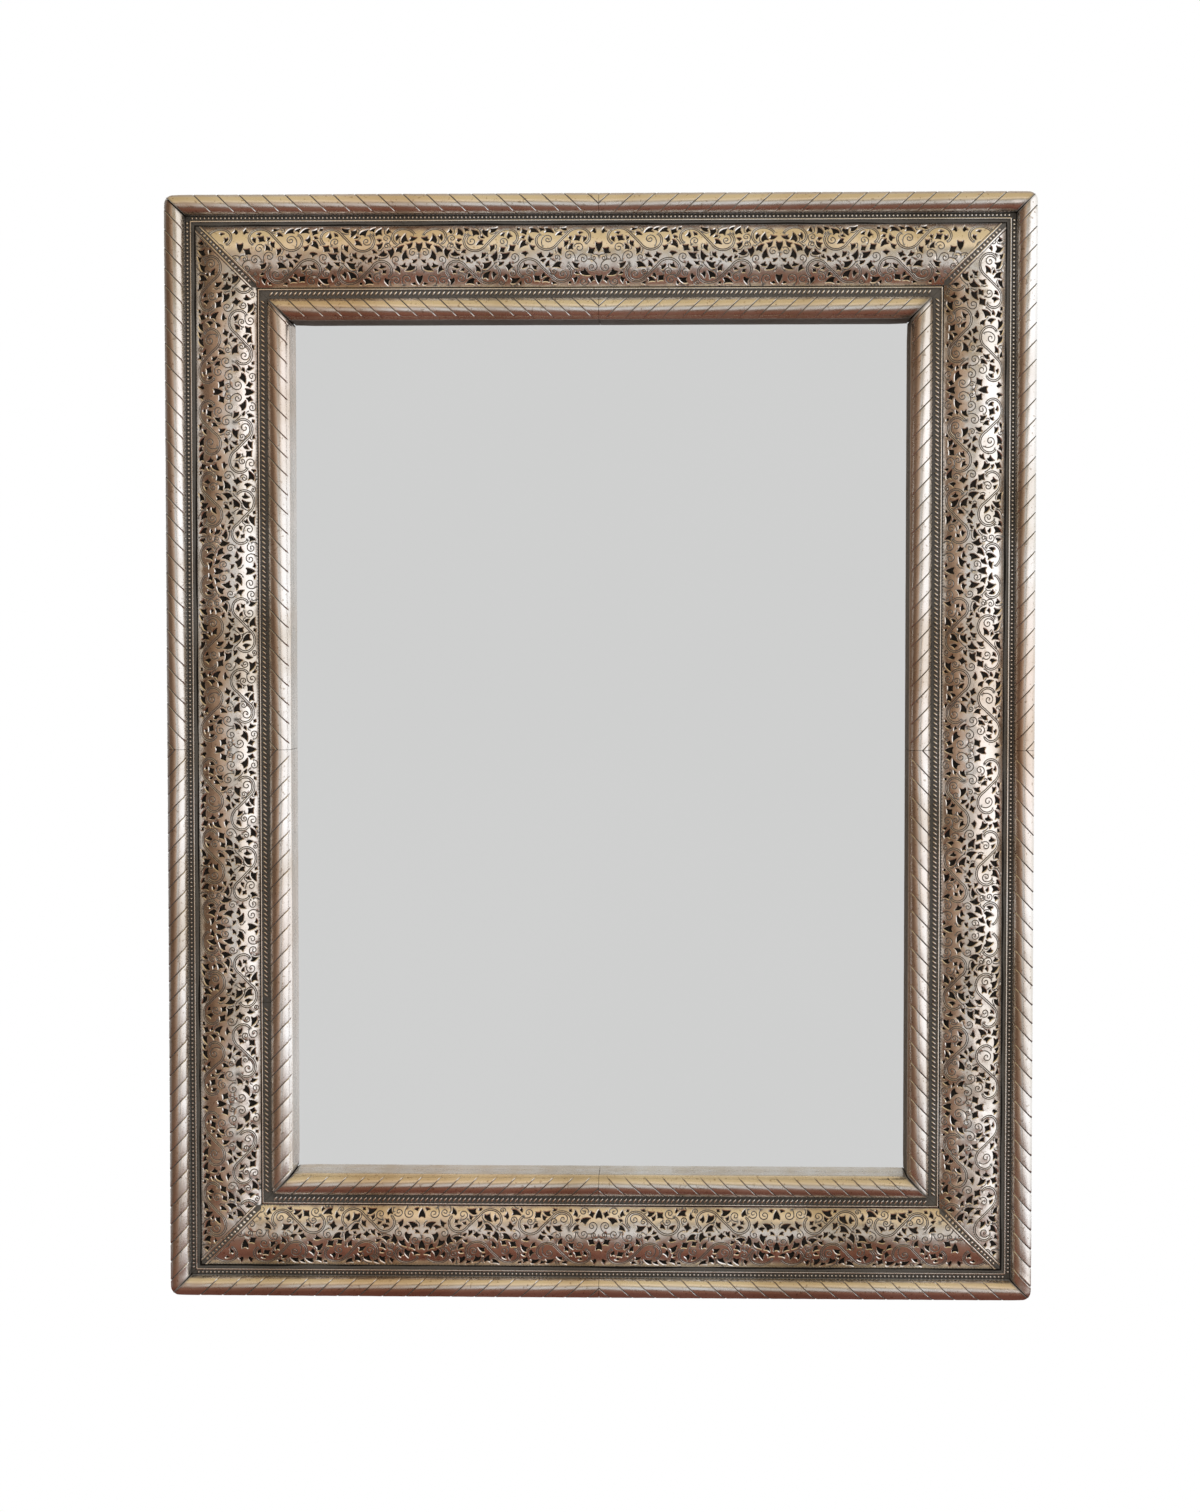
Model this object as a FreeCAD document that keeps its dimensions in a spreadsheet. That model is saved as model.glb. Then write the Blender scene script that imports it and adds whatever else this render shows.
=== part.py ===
"""A wall mirror in a wooden frame that is clad in pierced and embossed sheet metal.

The frame is four mitred wooden mouldings. Each carries, from its outer edge inwards, a round bead,
a narrow border strip, a convex frieze of pierced sheet, a second border strip and an inner bead.
Bead sleeves meet at the middle of each side. Diagonal strips cover the mitres of the frieze.
The glass and a flush back panel sit in a double rebate, and two ring hangers are screwed on behind.

Row frame: +Z up, the mirror looks along -Y, the wall plane is Y = 0, the origin is its middle.
Every member is drawn in a frame of its own: x along the member, u inwards from the outer edge
(z = -u) and v forwards from the wall plane (y = -v). Turning it about Y puts it on its side.
"""

import FreeCAD, Part
import math
import os
import Sketcher

SIZES = [
    # The whole frame
    ("overall_width", 620.0),
    ("overall_height", 790.0),
    # The moulding, across its face and forwards from the wall
    ("outer_bead_width", 15.0),
    ("strip_width", 7.5),
    ("frieze_width", 43.5),
    ("inner_bead_width", 16.0),
    ("bed_level", 22.0),
    ("bead_foot", 2.5),
    ("frieze_rise", 8.0),
    ("glass_rebate", 9.0),
    ("panel_rebate", 11.0),
    # The sheet metal
    ("sheet_thickness", 0.6),
    ("frieze_sheet_thickness", 0.8),
    ("strip_thickness", 0.8),
    ("strip_rim_width", 1.1),
    ("strip_rim_height", 0.9),
    ("mitre_strip_width", 7.0),
    ("skirt_gap", 1.0),
    ("bedding", 0.1),
    ("seam_gap", 0.3),
    ("strip_seam_from_corner", 123.0),
    # The piercing of the frieze: one repeat of scrolling leaves
    ("repeat_length", 41.0),
    ("leaf_length", 15.0),
    ("leaf_width", 5.0),
    ("bud_length", 9.0),
    ("bud_width", 4.0),
    ("lozenge_length", 11.0),
    ("lozenge_width", 6.0),
    # The glass and the back panel
    ("glass_thickness", 4.0),
    ("back_panel_thickness", 4.0),
    ("edge_clearance", 0.5),
    # The pins
    ("mitre_pin_diameter", 2.2),
    ("mitre_pin_length", 58.0),
    ("mitre_pin_spacing", 9.0),
    ("panel_pin_diameter", 1.4),
    ("panel_pin_length", 13.0),
    ("panel_pin_spacing", 105.0),
    # The ring hangers
    ("hanger_drop", 170.0),
    ("hanger_strap_width", 16.0),
    ("hanger_strap_thickness", 1.5),
    ("hanger_strap_length", 58.0),
    ("ring_wire_diameter", 3.2),
    ("ring_width", 26.0),
    ("ring_corner_radius", 4.5),
    ("ring_drop", 20.0),
    ("ring_clearance", 0.3),
    ("hanger_screw_diameter", 3.5),
    ("hanger_screw_length", 15.0),
    ("hanger_screw_head_diameter", 7.0),
    ("hanger_screw_head_height", 2.2),
    ("hanger_screw_end_margin", 7.0),
    ("hanger_screw_spacing", 17.0),
    # The wall bumpers
    ("bumper_diameter", 14.0),
    ("bumper_height", 6.5),
    ("bumper_inset", 30.0),
    # How far a cutting outline runs past what it cuts
    ("overrun", 4.0),
]

doc = FreeCAD.newDocument("EtchedMirror")
sheet = doc.addObject("Spreadsheet::Sheet", "Sizes")
for row, (alias, number) in enumerate(SIZES, start=1):
    sheet.set(f"A{row}", alias)
    sheet.set(f"B{row}", str(number))
    sheet.setAlias(f"B{row}", alias)
doc.recompute()


def size(alias):
    """The text that names one cell of the sheet in an expression."""
    return f"Sizes.{alias}"


def number(text):
    """What an expression is worth now."""
    return float(sheet.evalExpression(text))


# Sizes that follow from the sheet, as expressions
WIDTH = size("overall_width")
HEIGHT = size("overall_height")
OUTER_BEAD = size("outer_bead_width")
INNER_BEAD = size("inner_bead_width")
STRIP = size("strip_width")
FRIEZE = size("frieze_width")
BED = size("bed_level")
SHEET = size("sheet_thickness")
BEDDING = size("bedding")
OVERRUN = size("overrun")
SPRING = f"({BED} + {size('bead_foot')})"
CLAD = f"({SHEET} + {BEDDING})"
FRIEZE_START = f"({OUTER_BEAD} + {STRIP})"
FRIEZE_END = f"({FRIEZE_START} + {FRIEZE})"
FRIEZE_MIDDLE = f"({FRIEZE_START} + {FRIEZE} / 2)"
INNER_START = f"({FRIEZE_END} + {STRIP})"
FACE = f"({INNER_START} + {INNER_BEAD})"
PANEL_LEVEL = size("back_panel_thickness")
LIP_LEVEL = f"({PANEL_LEVEL} + {size('glass_thickness')} + {BEDDING})"
FRIEZE_RADIUS = f"((({FRIEZE} / 2)^2 + {size('frieze_rise')}^2) / (2 * {size('frieze_rise')}))"
FRIEZE_CENTRE = f"({BED} + {size('frieze_rise')} - {FRIEZE_RADIUS})"
PANEL_SEAT = f"({FACE} - {size('glass_rebate')} - {size('panel_rebate')})"
SHELL_INSIDE = f"({FRIEZE_RADIUS} + {BEDDING})"
SHELL_OUTSIDE = f"({SHELL_INSIDE} + {size('frieze_sheet_thickness')})"
BUTT = f"({size('seam_gap')} / 2)"

# Each side: how far it is turned about Y, its middle on the outer edge, its length and its two halves
SIDES = {
    "top": (0, ("0", f"{HEIGHT} / 2"), WIDTH, ("left", "right")),
    "right": (90, (f"{WIDTH} / 2", "0"), HEIGHT, ("upper", "lower")),
    "bottom": (180, ("0", f"-{HEIGHT} / 2"), WIDTH, ("right", "left")),
    "left": (-90, (f"-{WIDTH} / 2", "0"), HEIGHT, ("lower", "upper")),
}
CORNERS = {
    "top_right": (0, f"{WIDTH} / 2", f"{HEIGHT} / 2"),
    "bottom_right": (90, f"{WIDTH} / 2", f"-{HEIGHT} / 2"),
    "bottom_left": (180, f"-{WIDTH} / 2", f"-{HEIGHT} / 2"),
    "top_left": (-90, f"-{WIDTH} / 2", f"{HEIGHT} / 2"),
}
subparts = []
HALF_CIRCLE_SHARE = 1e-6


def keep(item, label):
    """Marks an object of the document as a sub-part of that name."""
    item.Label = label
    subparts.append(item)
    return item


def place(item, angle, x, z):
    """Turns an object about Y and moves it in the plane of the mirror."""
    turn = FreeCAD.Rotation(FreeCAD.Vector(0, 1, 0), angle)
    item.Placement = FreeCAD.Placement(FreeCAD.Vector(), turn)
    item.setExpression("Placement.Base.x", x)
    item.setExpression("Placement.Base.z", z)


def new_body(name):
    return doc.addObject("PartDesign::Body", name)


def new_sketch(body, role, offset=None):
    """A sketch on one of the body's own origin planes, moved along its normal by an expression."""
    sketch = body.newObject("Sketcher::SketchObject", "Outline")
    plane = next(item for item in body.Origin.OriginFeatures if item.Role == role)
    sketch.AttachmentSupport = [(plane, "")]
    sketch.MapMode = "FlatFace"
    if offset:
        sketch.setExpression("AttachmentOffset.Base.z", offset)
    return sketch


def pin_along(sketch, edge, end, kind, text):
    """Ties one point of an edge to the sketch's origin along one axis."""
    if text == "0":
        axis = -2 if kind == "DistanceX" else -1
        sketch.addConstraint(Sketcher.Constraint("PointOnObject", edge, end, axis))
        return
    index = sketch.addConstraint(Sketcher.Constraint(kind, -1, 1, edge, end, number(text)))
    sketch.setExpression(f"Constraints[{index}]", text)


def pin_point(sketch, edge, end, x, y):
    pin_along(sketch, edge, end, "DistanceX", x)
    pin_along(sketch, edge, end, "DistanceY", y)


def point(x, y):
    return FreeCAD.Vector(number(x), number(y), 0)


def round_edge(start, through, finish):
    """An arc that runs anticlockwise, and whether that is from start to finish."""
    circle = Part.Arc(start, through, finish).toShape().Curve
    across, along = finish - start, through - start
    forwards = across.x * along.y - across.y * along.x < 0
    first, last = (start, finish) if forwards else (finish, start)
    turns = [(spot - circle.Center) for spot in (first, last)]
    angles = [math.atan2(turn.y, turn.x) for turn in turns]
    if angles[1] <= angles[0]:
        angles[1] += 2 * math.pi
    circle = Part.Circle(circle.Center, FreeCAD.Vector(0, 0, 1), circle.Radius)
    return Part.ArcOfCircle(circle, *angles), forwards


def bend_edge(sketch, edge, corner, chord):
    """Fixes how far an arc bows. A half circle has its centre on its chord, and any other arc a radius."""
    radius = corner[2][0]
    if abs(chord.Length / 2 - number(radius)) > HALF_CIRCLE_SHARE * chord.Length:
        index = sketch.addConstraint(Sketcher.Constraint("Radius", edge, number(radius)))
        sketch.setExpression(f"Constraints[{index}]", radius)
    elif abs(chord.x) > abs(chord.y):
        pin_along(sketch, edge, 3, "DistanceY", corner[1])
    else:
        pin_along(sketch, edge, 3, "DistanceX", corner[0])


def draw(sketch, corners):
    """Adds a closed outline. A corner is (x, y) or (x, y, bend), where bend is the radius of the edge
    that leaves it and a point that this edge passes through."""
    first = sketch.GeometryCount
    ends, chords = [], []
    for index, corner in enumerate(corners):
        start = point(*corner[:2])
        finish = point(*corners[(index + 1) % len(corners)][:2])
        edge, forwards = Part.LineSegment(start, finish), True
        if len(corner) == 3:
            edge, forwards = round_edge(start, point(*corner[2][1:]), finish)
        sketch.addGeometry(edge, False)
        ends.append((1, 2) if forwards else (2, 1))
        chords.append(finish - start)
    for index, corner in enumerate(corners):
        following = (index + 1) % len(corners)
        sketch.addConstraint(Sketcher.Constraint(
            "Coincident", first + index, ends[index][1], first + following, ends[following][0]))
        pin_point(sketch, first + index, ends[index][0], *corner[:2])
        if len(corner) == 3:
            bend_edge(sketch, first + index, corner, chords[index])


def draw_circle(sketch, x, y, radius):
    index = sketch.addGeometry(Part.Circle(point(x, y), FreeCAD.Vector(0, 0, 1), number(radius)), False)
    pin_point(sketch, index, 3, x, y)
    bend = sketch.addConstraint(Sketcher.Constraint("Radius", index, number(radius)))
    sketch.setExpression(f"Constraints[{bend}]", radius)


def section(corners):
    """A moulding's section from (u, v) corners, as the corners of a sketch across the member."""
    turned = []
    for corner in corners:
        spot = (negative(corner[1]), negative(corner[0]))
        if len(corner) == 3:
            radius, u, v = corner[2]
            spot += ((radius, negative(v), negative(u)),)
        turned.append(spot)
    return turned


def negative(text):
    return "0" if text == "0" else f"-({text})"


def pad(body, sketch, length, midplane=False, reverse=False):
    feature = body.newObject("PartDesign::Pad", "Pad")
    feature.Profile = sketch
    feature.Midplane = midplane
    feature.Reversed = reverse
    feature.setExpression("Length", length)
    return feature


def pocket_through(body, sketch):
    feature = body.newObject("PartDesign::Pocket", "Pocket")
    feature.Profile = sketch
    feature.Type = "ThroughAll"
    feature.Midplane = True
    return feature


def cut_mitre(sketch, length, end):
    """Adds the triangle that is cut off one end (-1 or 1) of a member, along |x| = length / 2 - u."""
    sign = "-" if end < 0 else ""
    far = f"({length} / 2 + {OVERRUN})"
    deep = f"({FACE} + {OVERRUN})"
    draw(sketch, [
        (f"{sign}{far}", OVERRUN),
        (f"{sign}({length} / 2 - {deep})", f"-{deep}"),
        (f"{sign}{far}", f"-{deep}"),
    ])


def member(name, side, corners, half=None):
    """A mitred length of a section on one side of the frame: all of it, or only its first or second half."""
    angle, middle, length, _ = SIDES[side]
    body = new_body(name)
    if half is None:
        outline = new_sketch(body, "YZ_Plane")
        draw(outline, section(corners))
        pad(body, outline, length, midplane=True)
    else:
        outline = new_sketch(body, "YZ_Plane", BUTT if half > 0 else f"-{BUTT}")
        draw(outline, section(corners))
        pad(body, outline, f"{length} / 2 - {BUTT}", reverse=half < 0)
    cut = new_sketch(body, "XZ_Plane")
    for end in (-1, 1) if half is None else (half,):
        cut_mitre(cut, length, end)
    pocket_through(body, cut)
    place(body, angle, *middle)
    return body


def drill(body, role, offset, spots, radius, depth, reverse=False):
    """Blind round holes from a plane of the body that is moved along its normal."""
    sketch = new_sketch(body, role, offset)
    for x, y in spots:
        draw_circle(sketch, x, y, radius)
    feature = body.newObject("PartDesign::Pocket", "Holes")
    feature.Profile = sketch
    feature.Reversed = reverse
    feature.setExpression("Length", depth)
    return feature


# The pins: where they stand, shared by the holes and by the pins themselves
MITRE_PIN_RADIUS = f"{size('mitre_pin_diameter')} / 2"
MITRE_PIN_INSET = FRIEZE_MIDDLE
MITRE_PIN_LEVELS = [
    f"({BED} / 2 - {size('mitre_pin_spacing')} / 2)",
    f"({BED} / 2 + {size('mitre_pin_spacing')} / 2)",
]
PANEL_PIN_RADIUS = f"{size('panel_pin_diameter')} / 2"
PANEL_PIN_INSET = f"({PANEL_SEAT} + {size('panel_rebate')} / 2)"
HANGER_LINE = FRIEZE_MIDDLE
HANGER_Z = f"({HEIGHT} / 2 - {size('hanger_drop')})"
SCREW_RADIUS = f"{size('hanger_screw_diameter')} / 2"
SCREW_DROPS = [
    f"({size('hanger_strap_length')} - {size('hanger_screw_end_margin')} - {size('hanger_screw_spacing')})",
    f"({size('hanger_strap_length')} - {size('hanger_screw_end_margin')})",
]
SCREW_REACH = f"({size('hanger_screw_length')} - {size('hanger_strap_thickness')})"


def panel_pin_places(length):
    """Where the panel pins stand along a side: equal steps, as near the wanted spacing as fits."""
    run = f"({length} - 2 * {PANEL_PIN_INSET})"
    count = max(1, round(number(f"{run} / {size('panel_pin_spacing')}")))
    return [f"({run} * (2 * {step} + 1 - {count}) / (2 * {count}))" for step in range(count)]


def bead_arc(start, width, inset):
    """The bend of a bead's half-round top, that far inside the outer skin of the bead."""
    middle = f"{width} / 2"
    return f"{middle} - {inset}", f"{start} + {middle}", f"{SPRING} + {middle} - {inset}"


# Wooden mouldings
RAIL_SECTION = [
    (CLAD, "0"),
    (CLAD, SPRING, bead_arc("0", OUTER_BEAD, CLAD)),
    (f"{OUTER_BEAD} - {CLAD}", SPRING),
    (f"{OUTER_BEAD} - {CLAD}", BED),
    (FRIEZE_START, BED, (FRIEZE_RADIUS, FRIEZE_MIDDLE, f"{BED} + {size('frieze_rise')}")),
    (FRIEZE_END, BED),
    (f"{INNER_START} + {CLAD}", BED),
    (f"{INNER_START} + {CLAD}", SPRING, bead_arc(INNER_START, INNER_BEAD, CLAD)),
    (f"{FACE} - {CLAD}", SPRING),
    (f"{FACE} - {CLAD}", LIP_LEVEL),
    (f"{FACE} - {size('glass_rebate')}", LIP_LEVEL),
    (f"{FACE} - {size('glass_rebate')}", PANEL_LEVEL),
    (PANEL_SEAT, PANEL_LEVEL),
    (PANEL_SEAT, "0"),
]


def wooden_rail(side, label):
    _, _, length, _ = SIDES[side]
    body = member("Rail", side, RAIL_SECTION)
    ends = [f"({sign}({length} / 2 - {MITRE_PIN_INSET}))" for sign in ("-", "")]
    if length == WIDTH:
        spots = [(x, negative(level)) for x in ends for level in MITRE_PIN_LEVELS]
        drill(body, "XY_Plane", f"-{CLAD}", spots, MITRE_PIN_RADIUS, size("mitre_pin_length"))
    else:
        reach = f"({length} / 2 - {CLAD} - {size('mitre_pin_length')})"
        spots = [(negative(level), negative(MITRE_PIN_INSET)) for level in MITRE_PIN_LEVELS]
        for offset, reverse in ((reach, True), (f"-{reach}", False)):
            drill(body, "YZ_Plane", offset, spots, MITRE_PIN_RADIUS, size("mitre_pin_length"), reverse)
    spots = [(x, negative(PANEL_PIN_INSET)) for x in panel_pin_places(length)]
    drill(body, "XZ_Plane", PANEL_LEVEL, spots, PANEL_PIN_RADIUS,
          f"{size('panel_pin_length')} - {PANEL_LEVEL}", True)
    if side in ("left", "right"):
        sign = "-" if side == "right" else ""
        spots = [(f"{sign}({HANGER_Z} - {drop})", negative(HANGER_LINE)) for drop in SCREW_DROPS]
        drill(body, "XZ_Plane", None, spots, SCREW_RADIUS, SCREW_REACH, True)
    return keep(body, label)


RAIL_LABELS = {"top": "top_rail", "bottom": "bottom_rail", "left": "left_stile", "right": "right_stile"}
for side, label in RAIL_LABELS.items():
    wooden_rail(side, label)

# Bead sleeves, two to a side
OUTER_SLEEVE = [
    ("0", size("skirt_gap")),
    ("0", SPRING, bead_arc("0", OUTER_BEAD, "0")),
    (OUTER_BEAD, SPRING),
    (OUTER_BEAD, BED),
    (f"{OUTER_BEAD} - {SHEET}", BED),
    (f"{OUTER_BEAD} - {SHEET}", SPRING, bead_arc("0", OUTER_BEAD, SHEET)),
    (SHEET, SPRING),
    (SHEET, size("skirt_gap")),
]
INNER_SLEEVE = [
    (INNER_START, BED),
    (INNER_START, SPRING, bead_arc(INNER_START, INNER_BEAD, "0")),
    (FACE, SPRING),
    (FACE, LIP_LEVEL),
    (f"{FACE} - {SHEET}", LIP_LEVEL),
    (f"{FACE} - {SHEET}", SPRING, bead_arc(INNER_START, INNER_BEAD, SHEET)),
    (f"{INNER_START} + {SHEET}", SPRING),
    (f"{INNER_START} + {SHEET}", BED),
]
for side, (_, _, _, halves) in SIDES.items():
    for half, word in zip((-1, 1), halves):
        keep(member("Sleeve", side, OUTER_SLEEVE, half), f"outer_bead_{side}_{word}")
        keep(member("Sleeve", side, INNER_SLEEVE, half), f"inner_bead_{side}_{word}")


# Border strips: a flat band with a raised rim along both edges
def strip_section(low, high):
    flat = f"{BED} + {size('strip_thickness')}"
    rim = f"{flat} + {size('strip_rim_height')}"
    return [
        (low, BED),
        (low, rim),
        (f"{low} + {size('strip_rim_width')}", rim),
        (f"{low} + {size('strip_rim_width')}", flat),
        (f"{high} - {size('strip_rim_width')}", flat),
        (f"{high} - {size('strip_rim_width')}", rim),
        (high, rim),
        (high, BED),
    ]


OUTER_STRIP = strip_section(f"({OUTER_BEAD} + {BEDDING})", f"({FRIEZE_START} - {BEDDING})")
INNER_STRIP = strip_section(f"({FRIEZE_END} + {BEDDING})", f"({INNER_START} - {BEDDING})")


def cut_strip_seam(body, keep_lower):
    """Leaves the part of the left inner strip that lies below or above its seam."""
    seam = f"(-{HEIGHT} / 2 + {FACE} + {size('strip_seam_from_corner')})"
    far = f"({HEIGHT} / 2 + {OVERRUN})"
    deep = f"-({FACE} + {OVERRUN})"
    start, finish = (seam, far) if keep_lower else (f"-{far}", f"({seam} + {size('seam_gap')})")
    cut = new_sketch(body, "XZ_Plane")
    draw(cut, [(start, OVERRUN), (finish, OVERRUN), (finish, deep), (start, deep)])
    pocket_through(body, cut)
    return body


for side in SIDES:
    keep(member("Strip", side, OUTER_STRIP), f"outer_strip_{side}")
    if side != "left":
        keep(member("Strip", side, INNER_STRIP), f"inner_strip_{side}")
keep(cut_strip_seam(member("Strip", "left", INNER_STRIP), True), "inner_strip_left_lower")
keep(cut_strip_seam(member("Strip", "left", INNER_STRIP), False), "inner_strip_left_upper")


# The pierced frieze: thin convex sheet with a repeat of leaves, buds and lozenges cut through it
def shell_section(inside, outside, low, high):
    """A thin curved sheet between two arcs about the frieze's centre."""
    half = f"(({high} - {low}) / 2)"
    corners = []
    for radius, first, last in ((inside, low, high), (outside, high, low)):
        level = f"({FRIEZE_CENTRE} + sqrt({radius}^2 - {half}^2))"
        corners.append((first, level, (radius, FRIEZE_MIDDLE, f"{FRIEZE_CENTRE} + {radius}")))
        corners.append((last, level))
    return corners


def leaf(x, u, length, width, lean_share):
    """A pointed leaf about (x, u): two arcs between its tips. Its lean is a share of its length."""
    along = f"({length} / 2)"
    across = f"({length} * {lean_share})"
    bow = f"({width} / 2)"
    chord = f"sqrt({along}^2 + {across}^2)"
    radius = f"(({chord}^2 + {bow}^2) / (2 * {bow}))"
    tips = [(f"{x} - {along}", f"-({u} - {across})"), (f"{x} + {along}", f"-({u} + {across})")]
    shift_x = f"{bow} * {across} / {chord}"
    shift_u = f"{bow} * {along} / {chord}"
    sides = [
        (radius, f"{x} + {shift_x}", f"-({u} - {shift_u})"),
        (radius, f"{x} - {shift_x}", f"-({u} + {shift_u})"),
    ]
    return [tips[0] + (sides[0],), tips[1] + (sides[1],)]


def lozenge(x, u, length, width):
    return [
        (f"{x} - {length} / 2", f"-({u})"),
        (x, f"-({u} - {width} / 2)"),
        (f"{x} + {length} / 2", f"-({u})"),
        (x, f"-({u} + {width} / 2)"),
    ]


# Where each opening of a repeat lies: a share of the repeat along, a share of the frieze across
LEAF_SHARES = ((-0.28, 0.30, 0.32), (0.22, 0.70, 0.32), (0.22, 0.30, -0.32), (-0.28, 0.70, -0.32))
BUD_SHARES = ((-0.03, 0.16, 0.0), (-0.03, 0.84, 0.0))
LOZENGE_SHARES = (-0.03, 0.50)
END_MARGIN_SHARE = 0.5
FRIEZE_EDGES = (f"({FRIEZE_START} + {BEDDING})", f"({FRIEZE_END} - {BEDDING})")


def repeat_count(length):
    """How many whole repeats fit between the mitres, at the frieze's middle."""
    run = f"({length} - 2 * {FRIEZE_MIDDLE} - {END_MARGIN_SHARE} * {FRIEZE})"
    return f"floor({run} / {size('repeat_length')})"


def frieze_panel(side):
    _, _, length, _ = SIDES[side]
    body = member("Frieze", side, shell_section(SHELL_INSIDE, SHELL_OUTSIDE, *FRIEZE_EDGES))
    repeat = size("repeat_length")
    run = f"(({repeat_count(length)} - 1) * {repeat})"

    def spot(along_share, across_share):
        return f"(-{run} / 2 + {repeat} * {along_share})", f"({FRIEZE_START} + {FRIEZE} * {across_share})"

    cut = new_sketch(body, "XZ_Plane")
    for along_share, across_share, lean_share in LEAF_SHARES:
        draw(cut, leaf(*spot(along_share, across_share), size("leaf_length"), size("leaf_width"), lean_share))
    for along_share, across_share, lean_share in BUD_SHARES:
        draw(cut, leaf(*spot(along_share, across_share), size("bud_length"), size("bud_width"), lean_share))
    draw(cut, lozenge(*spot(*LOZENGE_SHARES), size("lozenge_length"), size("lozenge_width")))
    pocket = pocket_through(body, cut)
    doc.recompute()
    pattern = body.newObject("PartDesign::LinearPattern", "Repeats")
    pattern.Originals = [pocket]
    axis = next(item for item in body.Origin.OriginFeatures if item.Role == "X_Axis")
    pattern.Direction = (axis, [""])
    pattern.setExpression("Length", run)
    pattern.setExpression("Occurrences", repeat_count(length))
    body.Tip = pattern
    return keep(body, f"frieze_{side}")


for side in SIDES:
    frieze_panel(side)


# Diagonal strips over the frieze's mitres: each half follows one side's curve
def mitre_strip(corner):
    angle, x, z = CORNERS[corner]
    inside = f"({SHELL_OUTSIDE} + {BEDDING})"
    outside = f"({inside} + {size('strip_thickness')})"
    reach = f"({size('mitre_strip_width')} * sqrt(2) / 2)"
    body = new_body("MitreHalf")
    outline = new_sketch(body, "YZ_Plane")
    draw(outline, section(shell_section(inside, outside, *FRIEZE_EDGES)))
    pad(body, outline, f"{FACE} + {reach}", reverse=True)
    cut = new_sketch(body, "XZ_Plane")
    deep = f"({FACE} + {OVERRUN})"
    far = f"-2 * {deep} - {reach}"
    draw(cut, [(OVERRUN, OVERRUN), (f"-{deep}", f"-{deep}"), (OVERRUN, f"-{deep}")])
    draw(cut, [
        (f"{OVERRUN} - {reach}", OVERRUN),
        (f"-{deep} - {reach}", f"-{deep}"),
        (far, f"-{deep}"),
        (far, OVERRUN),
    ])
    pocket_through(body, cut)
    other = doc.addObject("Part::Mirroring", "OtherHalf")
    other.Source = body
    other.Normal = FreeCAD.Vector(1, 0, -1)
    whole = doc.addObject("Part::Fuse", "MitreStrip")
    whole.Base = body
    whole.Tool = other
    place(whole, angle, x, z)
    return keep(whole, f"mitre_strip_{corner}")


for corner in CORNERS:
    mitre_strip(corner)


# The glass and the back panel, plates that stand in the double rebate
def plate(label, edge, low, thickness):
    """A plate whose edge stands that far in from the frame's outer edge."""
    box = doc.addObject("Part::Box", label)
    box.setExpression("Length", f"{WIDTH} - 2 * {edge}")
    box.setExpression("Width", thickness)
    box.setExpression("Height", f"{HEIGHT} - 2 * {edge}")
    box.setExpression("Placement.Base.x", f"{edge} - {WIDTH} / 2")
    box.setExpression("Placement.Base.y", f"-({low} + {thickness})")
    box.setExpression("Placement.Base.z", f"{edge} - {HEIGHT} / 2")
    return box


keep(plate("Glass", f"({FACE} - {size('glass_rebate')} + {size('edge_clearance')})",
           PANEL_LEVEL, size("glass_thickness")), "mirror_glass")


def rod(radius, length, axis, x, y, z):
    """A round rod from a point along an axis."""
    item = doc.addObject("Part::Cylinder", "Rod")
    item.setExpression("Radius", radius)
    item.setExpression("Height", length)
    turn = FreeCAD.Rotation(FreeCAD.Vector(0, 0, 1), FreeCAD.Vector(*axis))
    item.Placement = FreeCAD.Placement(FreeCAD.Vector(), turn)
    for letter, text in zip("xyz", (x, y, z)):
        if text != "0":
            item.setExpression(f"Placement.Base.{letter}", text)
    return item


def group(label, items):
    whole = doc.addObject("Part::Compound", "Group")
    whole.Links = items
    return keep(whole, label)


# Panel pins stand in a ring round the back panel; mitre pins hold the corners together
panel_pin_spots = []
pin_x = f"({WIDTH} / 2 - {PANEL_PIN_INSET})"
pin_z = f"({HEIGHT} / 2 - {PANEL_PIN_INSET})"
for along in panel_pin_places(WIDTH):
    panel_pin_spots += [(along, pin_z), (along, f"-{pin_z}")]
for along in panel_pin_places(HEIGHT):
    panel_pin_spots += [(pin_x, along), (f"-{pin_x}", along)]

panel = new_body("BackPanel")
outline = new_sketch(panel, "XZ_Plane")
panel_x, panel_z = [f"({span} / 2 - {PANEL_SEAT} - {size('edge_clearance')})" for span in (WIDTH, HEIGHT)]
draw(outline, [
    (f"-{panel_x}", f"-{panel_z}"), (panel_x, f"-{panel_z}"), (panel_x, panel_z), (f"-{panel_x}", panel_z)])
pad(panel, outline, PANEL_LEVEL)
holes = new_sketch(panel, "XZ_Plane")
for x, z in panel_pin_spots:
    draw_circle(holes, x, z, PANEL_PIN_RADIUS)
pocket_through(panel, holes)
keep(panel, "back_panel")

group("panel_pins", [
    rod(PANEL_PIN_RADIUS, size("panel_pin_length"), (0, -1, 0), x, "0", z) for x, z in panel_pin_spots])
mitre_x = f"({WIDTH} / 2 - {MITRE_PIN_INSET})"
mitre_z = f"({HEIGHT} / 2 - {CLAD})"
group("mitre_pins", [
    rod(MITRE_PIN_RADIUS, size("mitre_pin_length"), axis, f"{sign}{mitre_x}", negative(level), z)
    for axis, z in (((0, 0, -1), mitre_z), ((0, 0, 1), f"-{mitre_z}"))
    for sign in ("-", "")
    for level in MITRE_PIN_LEVELS])


# Ring hangers: a strap with a rolled eye, a swinging ring and two screws each
STRAP = size("hanger_strap_thickness")
WIRE = f"({size('ring_wire_diameter')} / 2)"
EYE_INSIDE = f"({WIRE} + {size('ring_clearance')})"
EYE_OUTSIDE = f"({EYE_INSIDE} + {STRAP})"
EYE_TAIL_SHARE = 0.5
HANGER_X = f"({WIDTH} / 2 - {HANGER_LINE})"


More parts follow.
